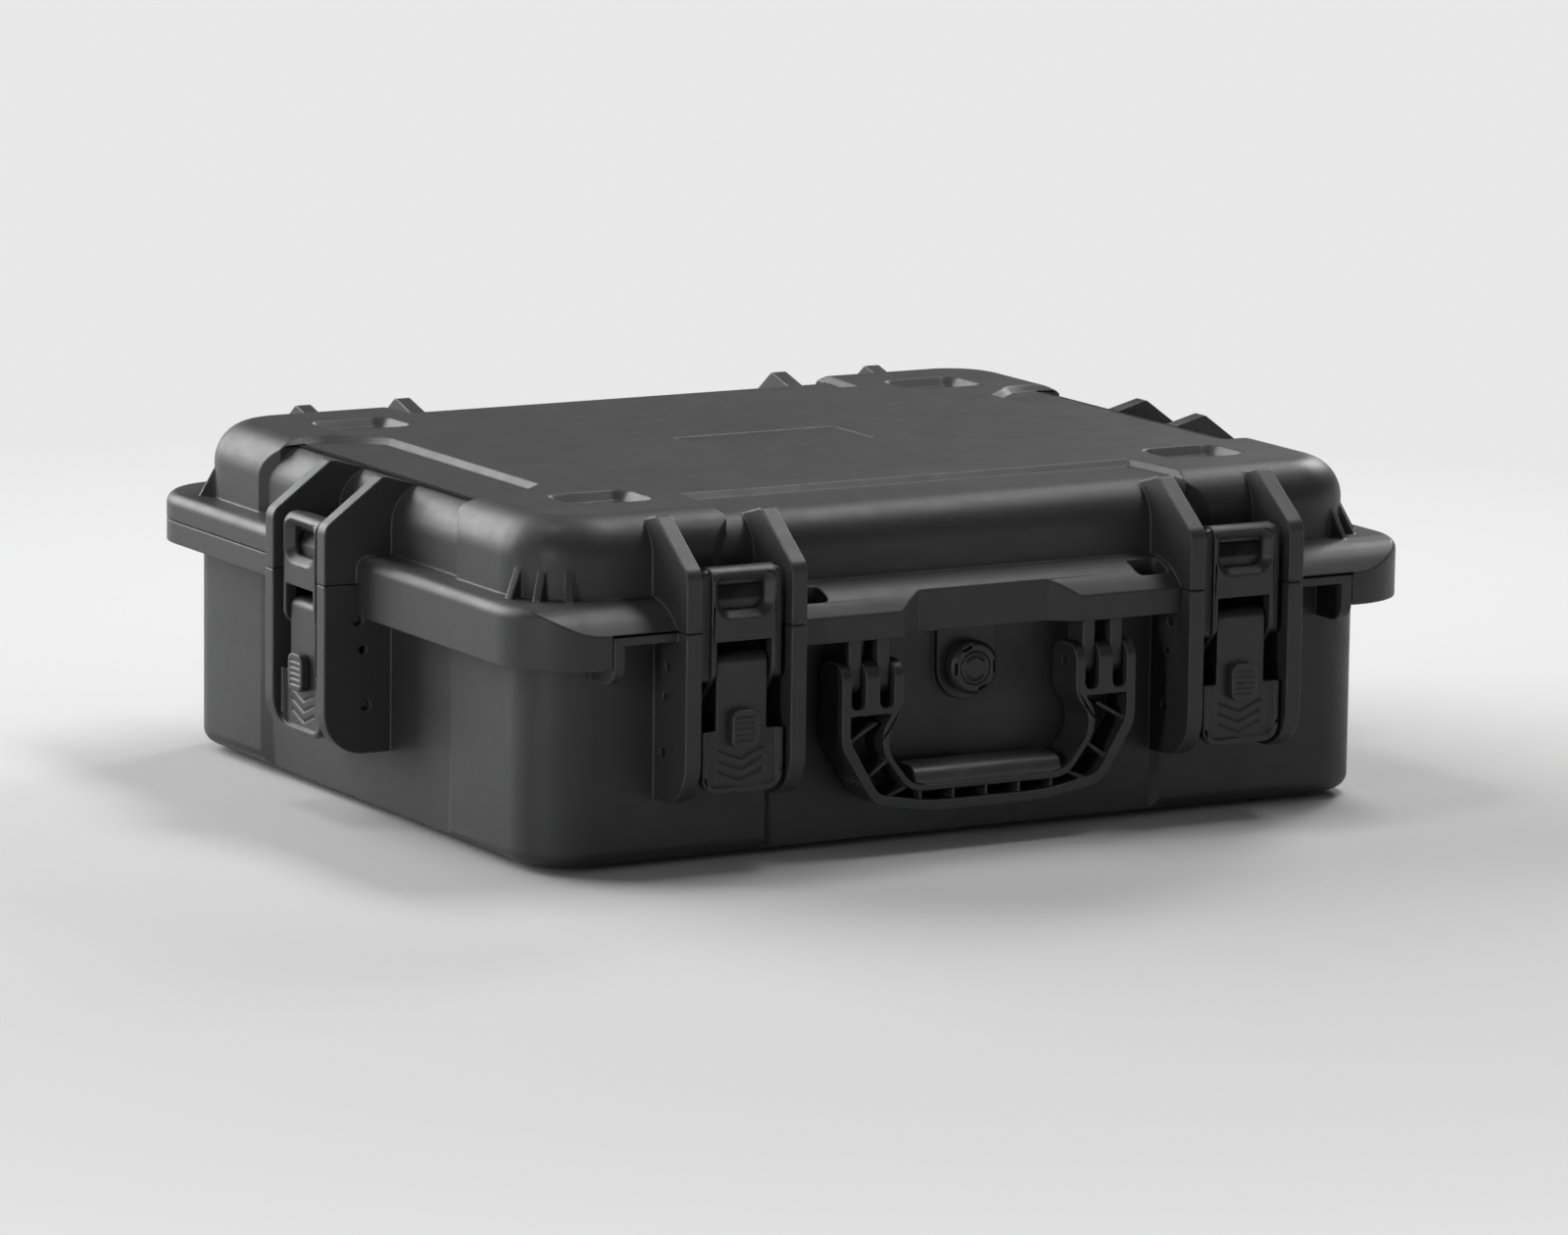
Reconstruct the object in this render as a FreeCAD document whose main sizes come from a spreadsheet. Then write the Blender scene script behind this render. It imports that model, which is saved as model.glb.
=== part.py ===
import FreeCAD, Part
import math
import os

import Sketcher

# Hard equipment case: a moulded base and hinged lid, four over-centre latches, a carrying handle and a valve.
# Frame: X along the front, Y from front to back, Z up, origin on the floor below the middle of the case.
# Lengths are in millimetres.

SIZES = {
    # Base shell
    "foot_height": 3.0,
    "foot_half_length": 17.0,
    "foot_half_width": 12.0,
    "foot_radius": 4.0,
    "base_half_length": 242.5,
    "base_half_width": 199.5,
    "base_height": 118.7,
    "base_corner_radius": 30.0,
    "base_bottom_radius": 8.0,
    "wall": 4.0,
    "panel_recess": 4.0,
    "front_panel_step": 4.5,
    "side_panel_half": 97.0,
    "side_panel_step": 11.0,
    # Rim where the two shells meet
    "rim_half_length": 258.0,
    "rim_half_width": 223.5,
    "rim_corner_radius": 40.0,
    "rim_plate": 4.5,
    "rim_drop": 11.7,
    "rim_band": 5.0,
    "skirt_wall": 3.5,
    "skirt_gap": 0.6,
    "corner_skirt_drop": 16.0,
    "shelf_skirt_drop": 12.1,
    "skirt_end": 214.0,
    "gusset_width": 6.0,
    "gusset_drop": 24.5,
    "gusset_radius": 10.0,
    "parting_gap": 0.4,
    "ridge_width": 2.4,
    "ridge_height": 2.4,
    "gasket_width": 5.0,
    "gasket_depth": 6.0,
    "gasket_gap": 0.3,
    # Lid shell
    "dome_half_length": 242.0,
    "dome_half_width": 197.0,
    "dome_height": 53.1,
    "dome_corner_radius": 42.0,
    "dome_edge_radius": 21.0,
    "strip_depth": 3.5,
    "flange_height": 13.9,
    "flange_edge_radius": 6.0,
    "front_strip_half": 128.0,
    "front_strip_line": 142.0,
    "side_strip_half": 80.0,
    "side_strip_line": 184.0,
    "strip_flare": 21.0,
    "strip_band": 14.0,
    "pocket_half_length": 19.0,
    "pocket_half_width": 14.0,
    "pocket_radius": 5.0,
    "pocket_depth": 5.0,
    "pocket_flare": 4.0,
    "fin_width": 4.2,
    "fin_height": 15.0,
    "fin_reach": 8.0,
    "fin_root": 4.0,
    "pocket_offset_x": 173.2,
    "pocket_offset_y": 132.5,
    "plate_half_length": 48.0,
    "plate_half_width": 21.5,
    "plate_depth": 0.6,
    "recess_top_half": 37.0,
    "recess_slope": 14.5,
    "recess_depth": 9.4,
    "recess_round": 4.0,
    "padlock_half_length": 9.0,
    "padlock_half_width": 7.0,
    "padlock_radius": 3.0,
    "padlock_offset": 98.5,
    "padlock_inset": 14.0,
    # Latch bays
    "bay_offset": 144.4,
    "bay_half_width": 25.0,
    "rib_thickness": 8.7,
    "rib_half_length": 276.1,
    "rib_half_width": 232.1,
    "rib_foot_level": 32.0,
    "rib_foot_radius": 22.0,
    "rib_crest_inset": 33.0,
    "rib_crest_rise": 1.0,
    "rib_crest_run": 23.0,
    "rib_slope_foot": 29.7,
    "rib_bend_radius": 8.0,
    "keeper_front": 9.6,
    "keeper_step": 4.5,
    "keeper_low": 14.3,
    "keeper_high": 20.8,
    # Latch
    "lever_pivot_depth": 19.0,
    "lever_pivot_drop": 18.5,
    "lever_pin_radius": 2.5,
    "catch_pivot_depth": 21.7,
    "catch_pivot_drop": 33.5,
    "catch_pin_radius": 2.0,
    "lock_bar_depth": 23.4,
    "lock_bar_drop": 62.1,
    "lock_bar_radius": 2.5,
    "pin_inset": 4.0,
    "pin_clearance": 0.05,
    "seat_clearance": 0.3,
    "catch_half_width": 22.5,
    "catch_front": 2.5,
    "catch_plate": 6.5,
    "catch_top": 32.8,
    "catch_crown_radius": 7.0,
    "catch_flank_set": 3.0,
    "catch_flank_width": 4.4,
    "catch_flank_low": 26.0,
    "catch_flank_round": 3.0,
    "catch_window_half": 12.8,
    "catch_window_low": 9.6,
    "catch_window_high": 24.0,
    "catch_window_radius": 5.5,
    "catch_window_top_radius": 1.8,
    "catch_window_bevel": 4.0,
    "catch_shoulder_radius": 9.0,
    "catch_slot_half": 15.5,
    "catch_slot_top": -5.4,
    "catch_nose_depth": 17.0,
    "catch_nose_gap": 0.6,
    "catch_leg_bend": 22.0,
    "catch_leg_hub": 4.6,
    "lever_half_neck": 14.0,
    "lever_front": 3.2,
    "lever_plate": 5.6,
    "lever_top": 12.2,
    "lever_top_radius": 5.0,
    "lever_hub": 6.5,
    "lever_shoulder": 50.1,
    "lever_bottom": 81.0,
    "lever_corner_radius": 9.0,
    "paddle_rim": 3.0,
    "paddle_dish": 1.6,
    "chevron_half": 13.0,
    "chevron_rise": 5.0,
    "chevron_width": 1.3,
    "chevron_pitch": 5.4,
    "chevron_depth": 0.8,
    "chevron_first": 74.2,
    "slider_half_width": 7.6,
    "slider_half_height": 9.5,
    "slider_level": 49.0,
    "slider_proud": 3.2,
    "slider_radius": 4.5,
    "slider_travel": 6.0,
    "slider_stem_half": 4.0,
    "slider_stem_height": 6.0,
    "slider_grip_width": 0.9,
    "slider_grip_pitch": 2.9,
    "slider_grip_depth": 0.6,
    "hook_finger": 3.0,
    "hook_lift": 2.8,
    # Handle
    "handle_half_length": 85.0,
    "handle_front": 223.0,
    "handle_depth": 23.5,
    "handle_pivot_inset": 11.5,
    "handle_pivot_level": 85.0,
    "handle_boss_radius": 9.8,
    "handle_side_low": 53.5,
    "handle_corner_half": 66.0,
    "handle_corner_level": 23.0,
    "handle_bottom": 17.5,
    "handle_flange": 5.0,
    "handle_web": 4.0,
    "handle_rib": 1.4,
    "handle_rib_lean": 9.0,
    "handle_rib_pitch": 19.0,
    "handle_fork_slot": 8.2,
    "handle_lug": 7.0,
    "handle_outer_slot": 75.6,
    "handle_inner_slot": 59.4,
    "handle_inner_half": 50.0,
    "handle_slot_bottom": 71.5,
    "handle_pin_radius": 2.5,
    "lug_bottom_radius": 7.2,
    "hand_waist_level": 68.0,
    "hand_wide_half": 63.0,
    "hand_wide_level": 55.0,
    "hand_low_half": 44.0,
    "hand_low_level": 31.0,
    "hand_flange": 3.0,
    "grip_half_length": 42.0,
    "grip_end_run": 6.0,
    "grip_end_rise": 1.4,
    "grip_height": 9.0,
    "grip_radius": 4.0,
    "grip_wave_radius": 24.0,
    "grip_wave_depth": 1.6,
    # Pressure valve
    "valve_level": 84.6,
    "valve_plate_half": 17.0,
    "valve_plate_proud": 3.5,
    "valve_hole_radius": 6.5,
    "valve_stem_radius": 6.0,
    "valve_flange_radius": 12.0,
    "valve_flange": 2.0,
    "valve_nut_half": 11.0,
    "valve_nut": 5.0,
    "valve_seal": 1.0,
    "valve_pivot_radius": 3.0,
    "valve_knob_radius": 13.6,
    "valve_knob_height": 6.0,
    "valve_knob_gap": 0.4,
    "valve_disc_radius": 8.0,
    "valve_groove_radius": 8.8,
    "valve_groove_depth": 1.4,
    "valve_finger_outer": 6.6,
    "valve_finger_inner": 5.2,
    "valve_finger_half": 3.4,
    "valve_vent_line": 11.0,
    "valve_vent_half_length": 3.0,
    "valve_vent_half_width": 0.9,
    "valve_vent_depth": 3.0,
    # Hinge at the back
    "hinge_line": 222.0,
    "hinge_setback": 2.0,
    "hinge_eye_radius": 10.0,
    "hinge_pin_radius": 3.0,
    "hinge_gap": 0.5,
    "hinge_base_ear": 8.7,
    # Overrun of every cut past the face that it opens
    "overrun": 2.0,
}

doc = FreeCAD.newDocument("equipment_case")
sheet = doc.addObject("Spreadsheet::Sheet", "sizes")
for row, (alias, number) in enumerate(SIZES.items(), start=1):
    sheet.set("A%d" % row, alias)
    sheet.set("B%d" % row, str(number))
    sheet.setAlias("B%d" % row, alias)
doc.recompute()


class Size:
    """A length or share that carries both its number and the sheet expression that gives it."""

    def __init__(self, number, text=None):
        self.number = float(number)
        self.text = text if text else repr(float(number))

    def join(self, other, sign, number):
        return Size(number, "(%s %s %s)" % (self.text, sign, as_size(other).text))

    def __add__(self, other):
        return self.join(other, "+", self.number + as_size(other).number)

    def __sub__(self, other):
        return self.join(other, "-", self.number - as_size(other).number)

    def __mul__(self, other):
        return self.join(other, "*", self.number * as_size(other).number)

    def __truediv__(self, other):
        return self.join(other, "/", self.number / as_size(other).number)

    def __neg__(self):
        return as_size(0) - self

    def __radd__(self, other):
        return as_size(other) + self

    def __rsub__(self, other):
        return as_size(other) - self

    def __rmul__(self, other):
        return as_size(other) * self


def as_size(value):
    """A plain number as a Size, or the Size itself."""
    return value if isinstance(value, Size) else Size(value)


class Sheet:
    """The sheet's cells by name, each as a Size."""

    def __getattr__(self, alias):
        return Size(sheet.get(alias), "sizes." + alias)


S = Sheet()


def bind(thing, path, size):
    """Tie one property of a document object to the sheet."""
    thing.setExpression(path, as_size(size).text)


def fix_point(sketch, geometry, end, spot):
    """Hold one point of a sketch at (x, y) from the sheet."""
    for kind, size in zip(("DistanceX", "DistanceY"), spot):
        size = as_size(size)
        index = sketch.addConstraint(Sketcher.Constraint(kind, geometry, end, size.number))
        sketch.setExpression("Constraints[%d]" % index, size.text)


def set_radius(sketch, geometry, radius):
    """Hold the radius of an arc or circle to the sheet."""
    index = sketch.addConstraint(Sketcher.Constraint("Radius", geometry, radius.number))
    sketch.setExpression("Constraints[%d]" % index, radius.text)


def draw_round(sketch, corner, spots, before, after):
    """Round one corner of an outline between the lines before and after it."""
    spot, last, following = spots
    radius = as_size(corner[2])
    back = (last - spot).normalize()
    ahead = (following - spot).normalize()
    half = back.getAngle(ahead) / 2
    reach = radius.number / math.tan(half)
    centre = spot + (back + ahead).normalize() * (radius.number / math.sin(half))
    ends = [spot + back * reach - centre, spot + ahead * reach - centre]
    angles = [math.atan2(end.y, end.x) for end in ends]
    left_turn = (spot - last).cross(following - spot).z > 0
    circle = Part.Circle(centre, FreeCAD.Vector(0, 0, 1), radius.number)
    first, second = angles if left_turn else reversed(angles)
    arc = sketch.addGeometry(Part.ArcOfCircle(circle, first, second))
    from_end, to_end = (1, 2) if left_turn else (2, 1)
    sketch.addConstraint(Sketcher.Constraint("Tangent", before, 2, arc, from_end))
    sketch.addConstraint(Sketcher.Constraint("Tangent", arc, to_end, after, 1))
    set_radius(sketch, arc, radius)
    point = sketch.addGeometry(Part.Point(spot), True)
    sketch.addConstraint(Sketcher.Constraint("PointOnObject", point, 1, before))
    sketch.addConstraint(Sketcher.Constraint("PointOnObject", point, 1, after))
    fix_point(sketch, point, 1, corner[:2])


def corner_reach(corner, spot, last, following):
    """Distance from a corner to where its round starts, zero for a sharp corner."""
    if len(corner) < 3:
        return 0
    half = (last - spot).getAngle(following - spot) / 2
    return as_size(corner[2]).number / math.tan(half)


def draw_outline(sketch, corners):
    """Closed outline through corners (x, y) or (x, y, radius), tied to the sheet."""
    spots = [FreeCAD.Vector(as_size(c[0]).number, as_size(c[1]).number, 0) for c in corners]
    count = len(corners)
    around = [(spots[i], spots[i - 1], spots[(i + 1) % count]) for i in range(count)]
    reach = [corner_reach(corner, *trio) for corner, trio in zip(corners, around)]
    lines = []
    for i in range(count):
        j = (i + 1) % count
        along = (spots[j] - spots[i]).normalize()
        run = Part.LineSegment(spots[i] + along * reach[i], spots[j] - along * reach[j])
        lines.append(sketch.addGeometry(run))
    for i, corner in enumerate(corners):
        if len(corner) > 2:
            draw_round(sketch, corner, around[i], lines[i - 1], lines[i])
        else:
            sketch.addConstraint(Sketcher.Constraint("Coincident", lines[i - 1], 2, lines[i], 1))
            fix_point(sketch, lines[i], 1, corner)


def draw_circle(sketch, x, y, radius):
    """Full circle round (x, y), tied to the sheet."""
    x, y, radius = as_size(x), as_size(y), as_size(radius)
    centre = FreeCAD.Vector(x.number, y.number, 0)
    ring = sketch.addGeometry(Part.Circle(centre, FreeCAD.Vector(0, 0, 1), radius.number))
    fix_point(sketch, ring, 3, (x, y))
    set_radius(sketch, ring, radius)


PIECES = {}


class Piece:
    """One solid of the case: a body whose pads and pockets run along a plane's normal from a start."""

    def __init__(self, label, keep=True):
        self.body = doc.addObject("PartDesign::Body", label)
        self.body.Label = label
        if keep:
            PIECES[label] = self.body

    def plane(self, role):
        return [part for part in self.body.Origin.OriginFeatures if part.Role == role][0]

    def sketch(self, role, start, outlines):
        sketch = self.body.newObject("Sketcher::SketchObject", self.body.Label + "_outline")
        sketch.AttachmentSupport = [(self.plane(role), "")]
        sketch.MapMode = "FlatFace"
        bind(sketch, "AttachmentOffset.Base.z", start)
        for outline in outlines:
            if isinstance(outline, tuple):
                draw_circle(sketch, *outline)
            else:
                draw_outline(sketch, outline)
        return sketch

    def pad(self, role, start, length, *outlines):
        """Add material from start along the plane's normal; an outline is a list, a circle a tuple."""
        sketch = self.sketch(role, start, outlines)
        pad = self.body.newObject("PartDesign::Pad", self.body.Label + "_pad")
        pad.Profile = sketch
        bind(pad, "Length", length)
        return pad

    def pocket(self, role, start, length, *outlines):
        """Cut from start along the plane's normal."""
        sketch = self.sketch(role, start, outlines)
        pocket = self.body.newObject("PartDesign::Pocket", self.body.Label + "_pocket")
        pocket.Profile = sketch
        pocket.Reversed = True
        bind(pocket, "Length", length)
        return pocket

    def taper(self, feature, run, rise):
        """Slope the sides of a pad or pocket outwards by run for each rise along it."""
        feature.setExpression("TaperAngle", "atan(%s / %s)" % (as_size(run).text, as_size(rise).text))

    def mirror(self, role, *features):
        """Repeat features on the other side of a plane."""
        twin = self.body.newObject("PartDesign::Mirrored", self.body.Label + "_mirror")
        twin.Originals = list(features)
        twin.MirrorPlane = (self.plane(role), [""])
        self.body.Tip = twin
        return twin

    def dress(self, kind, size, chosen):
        """Fillet or chamfer the edges that the test picks."""
        doc.recompute()
        base = self.body.Tip
        names = ["Edge%d" % i for i, edge in enumerate(base.Shape.Edges, start=1) if chosen(edge)]
        dressing = self.body.newObject("PartDesign::" + kind, self.body.Label + "_" + kind.lower())
        dressing.Base = (base, names)
        bind(dressing, {"Fillet": "Radius", "Chamfer": "Size"}[kind], size)
        return dressing

    def combine(self, kind, other):
        """Fuse with, cut by or keep what is common with another body."""
        boolean = self.body.newObject("PartDesign::Boolean", self.body.Label + "_boolean")
        boolean.setObjects([other.body])
        boolean.Type = kind
        return boolean


def rectangle(half_x, half_y, radius=None, centre=(0, 0)):
    """Rectangle round a centre, with its corners rounded where a radius is given."""
    x, y = centre
    signs = ((1, 1), (-1, 1), (-1, -1), (1, -1))
    spots = [(x + across * half_x, y + along * half_y) for across, along in signs]
    return [spot + (radius,) if radius else spot for spot in spots]


# Rounding slack when edges are picked by their level
LEVEL_SLACK = 1e-4


def box_edge(edge, axis, level):
    """True for an edge whose whole length lies at one level along an axis."""
    low = getattr(edge.BoundBox, axis + "Min")
    high = getattr(edge.BoundBox, axis + "Max")
    return max(abs(low - level.number), abs(high - level.number)) < LEVEL_SLACK


FRONT = "XZ_Plane"
SIDE = "YZ_Plane"
PLAN = "XY_Plane"

# A round that nearly fills a hub, a bar or a slot's end
HUB_SHARE = 0.9
END_SHARE = 0.96

# Levels and lines that several pieces share
base_level = S.foot_height
parting = S.foot_height + S.base_height
lid_level = parting + S.parting_gap
flange_top = parting + S.flange_height
dome_top = parting + S.dome_height
front_wall = S.base_half_width - S.panel_recess
side_wall = S.base_half_length - S.panel_recess
rim_back = S.hinge_line - S.hinge_setback
rib_outer = S.bay_offset + S.bay_half_width
rib_inner = S.bay_offset - S.bay_half_width - S.rib_thickness
bay_reach = S.bay_half_width + S.rib_thickness
gasket_x = S.base_half_length - S.wall
gasket_y = S.base_half_width - S.wall
handle_pivot_y = S.handle_front - S.handle_pivot_inset
cavity_x = side_wall - S.wall
cavity_y = front_wall - S.wall


def panel_recess_outline(half, step, wall_line, along_x):
    """Plan of a shallow panel recess with sloped ends, cut into a wall at wall_line."""
    deep = wall_line - S.panel_recess
    out = wall_line + S.overrun
    spots = [(half, deep), (half + step, wall_line), (half + step, out)]
    spots += [(-x, y) for x, y in reversed(spots)]
    if along_x:
        return [(x, -y) for x, y in spots]
    return [(-y, x) for x, y in spots]


def rim_outline(inset):
    """Plan of the rim, drawn in by inset, with its back edge in front of the hinge line."""
    half_x = S.rim_half_length - inset
    radius = S.rim_corner_radius - inset
    front = -(S.rim_half_width - inset)
    back = rim_back - inset
    spots = [(half_x, back), (-half_x, back), (-half_x, front), (half_x, front)]
    return [spot + (radius,) for spot in spots]


def bay_pockets(shell, start, length, gap):
    """Clear the latch bays and hinge bays in a shell's rim, between start and start plus length."""
    reach = S.rib_half_width + S.overrun
    front_low = S.base_half_width
    left, right = S.bay_offset - S.bay_half_width, S.bay_offset + S.bay_half_width
    front = shell.pocket(PLAN, start, length,
                         [(left, -reach), (right, -reach), (right, -front_low), (left, -front_low)])
    far = S.rib_half_length + S.overrun
    near = S.base_half_length
    side = shell.pocket(PLAN, start, length,
                        [(near, -S.bay_half_width), (far, -S.bay_half_width),
                         (far, S.bay_half_width), (near, S.bay_half_width)])
    left, right = rib_inner - gap, rib_outer + S.rib_thickness + gap
    back = shell.pocket(PLAN, start, length,
                        [(left, front_low), (right, front_low), (right, reach), (left, reach)])
    shell.mirror(SIDE, front, side, back)


def finger_recess(margin):
    """Plan of the finger recess over the valve, wider at the front, grown by a margin all round."""
    lean_share = S.recess_slope.number / S.recess_depth.number
    stretch_share = math.hypot(1, lean_share)
    deep = margin - S.rim_half_width + S.recess_depth
    top = S.recess_top_half + margin * (stretch_share - lean_share)
    foot = S.recess_top_half + S.recess_slope + margin * stretch_share
    bend = S.recess_round + margin
    return [(foot, -S.rim_half_width), (top, deep, bend), (-top, deep, bend), (-foot, -S.rim_half_width)]


def opened(outline):
    """The finger recess run out past the rim, for a cut."""
    out = -(S.rim_half_width + S.overrun)
    return [(outline[0][0], out)] + outline + [(outline[-1][0], out)]


def build_base_shell():
    base = Piece("base_shell")
    base.pad(PLAN, base_level, S.base_height,
             rectangle(S.base_half_length, S.base_half_width, S.base_corner_radius))
    base.dress("Fillet", S.base_bottom_radius, lambda edge: box_edge(edge, "Z", base_level))
    tall = S.base_height + S.overrun
    front = base.pocket(PLAN, base_level - S.overrun, tall,
                        panel_recess_outline(rib_inner, S.front_panel_step, S.base_half_width, True))
    base.mirror(FRONT, front)
    side = base.pocket(PLAN, base_level - S.overrun, tall,
                       panel_recess_outline(S.side_panel_half, S.side_panel_step, S.base_half_length, False))
    base.mirror(SIDE, side)
    add_base_rim(base)
    add_base_ribs(base)
    bay_pockets(base, parting - S.rim_drop - S.overrun, S.rim_drop + 2 * S.overrun, S.hinge_gap)
    base.pocket(PLAN, base_level + S.wall, S.base_height,
                rectangle(cavity_x, cavity_y, S.base_corner_radius - S.wall))
    half = S.ridge_width / 2
    base.pad(PLAN, parting, S.ridge_height,
             rectangle(gasket_x + half, gasket_y + half, S.base_corner_radius - S.wall + half),
             rectangle(gasket_x - half, gasket_y - half, S.base_corner_radius - S.wall - half))
    add_hinge_ears(base)
    add_handle_lugs(base)
    add_valve_boss(base)
    add_feet(base)
    cut_rib_holes(base)
    return base


def add_base_rim(base):
    """Rim plate under the lid, the band that shows at the back, and the corner plates with their gussets."""
    inset = S.skirt_wall + S.skirt_gap
    base.pad(PLAN, parting - S.rim_plate, S.rim_plate, rim_outline(inset))
    outer, inner = S.rim_half_length, S.rim_half_length - S.rim_band
    radius = S.rim_corner_radius
    base.pad(PLAN, parting - S.rim_drop, S.rim_drop,
             [(outer, bay_reach), (outer, rim_back, radius), (-outer, rim_back, radius), (-outer, bay_reach),
              (-inner, bay_reach), (-inner, rim_back - S.rim_band, radius - S.rim_band),
              (inner, rim_back - S.rim_band, radius - S.rim_band), (inner, bay_reach)])
    end = S.skirt_end - S.skirt_gap
    plate = base.pad(PLAN, parting - S.rim_plate, S.rim_plate,
                     [(rib_outer, -S.rim_half_width), (end, -S.rim_half_width),
                      (end, -front_wall), (rib_outer, -front_wall)])
    low = parting - S.gusset_drop
    gusset = base.pad(SIDE, end - S.gusset_width, S.gusset_width,
                      [(-front_wall, parting), (-S.rim_half_width, parting),
                       (-S.rim_half_width, low, S.gusset_radius), (-front_wall, low)])
    base.mirror(SIDE, plate, gusset)
    base.pocket(PLAN, parting - S.rim_plate - S.overrun, S.rim_plate + 2 * S.overrun,
                opened(finger_recess(S.skirt_wall + S.skirt_gap)))


def add_base_ribs(base):
    """Two upright ribs at each latch bay, rounded at the foot."""
    low = base_level + S.rib_foot_level
    outline = [(-front_wall, parting), (-S.rib_half_width, parting),
               (-S.rib_half_width, low, S.rib_foot_radius), (-front_wall, low)]
    ribs = [base.pad(SIDE, start, S.rib_thickness, outline) for start in (rib_inner, rib_outer)]
    outline = [(side_wall - S.wall / 2, parting), (S.rib_half_length, parting),
               (S.rib_half_length, low, S.rib_foot_radius), (side_wall - S.wall / 2, low)]
    ribs += [base.pad(FRONT, start, S.rib_thickness, outline) for start in (S.bay_half_width, -bay_reach)]
    base.mirror(SIDE, *ribs)


def add_hinge_ears(base):
    """Ears that stand just inside the lid's hinge ribs."""
    ears = []
    low = parting - 3 * S.hinge_eye_radius
    for start in (S.bay_offset - S.bay_half_width + S.hinge_gap,
                  S.bay_offset + S.bay_half_width - S.hinge_gap - S.hinge_base_ear):
        ears.append(base.pad(SIDE, start, S.hinge_base_ear,
                             [(front_wall, parting), (S.hinge_line, parting),
                              (S.hinge_line + S.hinge_eye_radius, parting - S.hinge_eye_radius / 4),
                              (S.hinge_line, parting - S.hinge_eye_radius), (front_wall, low)]))
        ears.append(base.pad(SIDE, start, S.hinge_base_ear, (S.hinge_line, parting, S.hinge_eye_radius)))
    base.mirror(SIDE, *ears)
    hole = base.pocket(SIDE, S.bay_offset - bay_reach, 2 * bay_reach,
                       (S.hinge_line, parting, S.hinge_pin_radius + S.pin_clearance))
    base.mirror(SIDE, hole)


def add_handle_lugs(base):
    """Two lugs for each end of the handle, hanging from the rim."""
    radius = S.lug_bottom_radius
    top = parting - S.rim_plate / 2
    level = base_level + S.handle_pivot_level
    lugs = []
    for middle in (S.handle_inner_slot, S.handle_outer_slot):
        lugs.append(base.pad(SIDE, middle - S.handle_lug / 2, S.handle_lug,
                             [(-(handle_pivot_y + radius), top),
                              (-(handle_pivot_y + radius), level - radius, radius),
                              (-(handle_pivot_y - radius), level - radius, radius * HUB_SHARE),
                              (-(handle_pivot_y - radius), top)]))
    base.mirror(SIDE, *lugs)
    hole = base.pocket(SIDE, S.handle_inner_half, S.handle_half_length - S.handle_inner_half,
                       (-handle_pivot_y, level, S.handle_pin_radius + S.pin_clearance))
    base.mirror(SIDE, hole)


def add_valve_boss(base):
    """U-shaped plate that hangs from the rim round the valve, and the valve's hole."""
    level = base_level + S.valve_level
    half = S.valve_plate_half
    base.pad(FRONT, front_wall - S.wall / 2, S.wall / 2 + S.valve_plate_proud,
             [(half, parting - S.rim_plate / 2), (-half, parting - S.rim_plate / 2),
              (-half, level - half, half * END_SHARE), (half, level - half, half * END_SHARE)])
    base.pocket(FRONT, cavity_y - S.overrun, S.wall + S.valve_plate_proud + 2 * S.overrun,
                (0, level, S.valve_hole_radius))


def add_feet(base):
    """Four low feet that drop into the pockets of a lid below."""
    for across in (-1, 1):
        for along in (-1, 1):
            base.pad(PLAN, 0, S.foot_height + S.wall / 2,
                     rectangle(S.foot_half_length, S.foot_half_width, S.foot_radius,
                               (across * S.pocket_offset_x, along * S.pocket_offset_y)))


def cut_rib_holes(base):
    """Holes for the lever pin, the lock bar and the catch pin's assembly, and the padlock slots."""
    spots = [(S.lever_pivot_depth, S.lever_pivot_drop, S.lever_pin_radius),
             (S.lock_bar_depth, S.lock_bar_drop, S.lock_bar_radius),
             (S.catch_pivot_depth, S.catch_pivot_drop, S.catch_pin_radius)]
    front, side = [], []
    for depth, drop, radius in spots:
        grown = radius + S.pin_clearance
        front.append((depth - S.rib_half_width, parting - drop, grown))
        side.append((S.rib_half_length - depth, parting - drop, grown))
    reach = bay_reach + S.overrun
    cuts = [base.pocket(SIDE, S.bay_offset - reach, 2 * reach, *front)]
    cuts.append(base.pocket(FRONT, -reach, 2 * reach, *side))
    cuts.append(base.pocket(PLAN, parting - S.rim_plate - S.overrun, S.rim_plate + 2 * S.overrun,
                            padlock_outline()))
    base.mirror(SIDE, *cuts)


def padlock_outline():
    """Plan of one padlock slot through both rims."""
    return rectangle(S.padlock_half_length, S.padlock_half_width, S.padlock_radius,
                     (S.padlock_offset, -(S.rim_half_width - S.padlock_inset)))


def keep_outline():
    """Plan of the dome's proud part: the full dome less the four recessed strips."""
    far_x = S.dome_half_length + S.overrun
    far_y = S.dome_half_width + S.overrun
    inset_x = S.dome_half_length - 2 * S.strip_depth
    inset_y = S.dome_half_width - 2 * S.strip_depth
    front_end = S.front_strip_half + S.strip_flare / 4
    side_end = S.side_strip_half + S.strip_flare
    quarter = [(S.front_strip_half, S.front_strip_line), (front_end, inset_y),
               (front_end + S.strip_band, far_y),
               (far_x, far_y), (far_x, side_end + S.strip_band), (inset_x, side_end),
               (S.side_strip_line + S.strip_flare, side_end), (S.side_strip_line, S.side_strip_half)]
    outline = list(quarter)
    outline += [(x, -y) for x, y in reversed(quarter)]
    outline += [(-x, -y) for x, y in quarter]
    outline += [(-x, y) for x, y in reversed(quarter)]
    return outline


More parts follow.
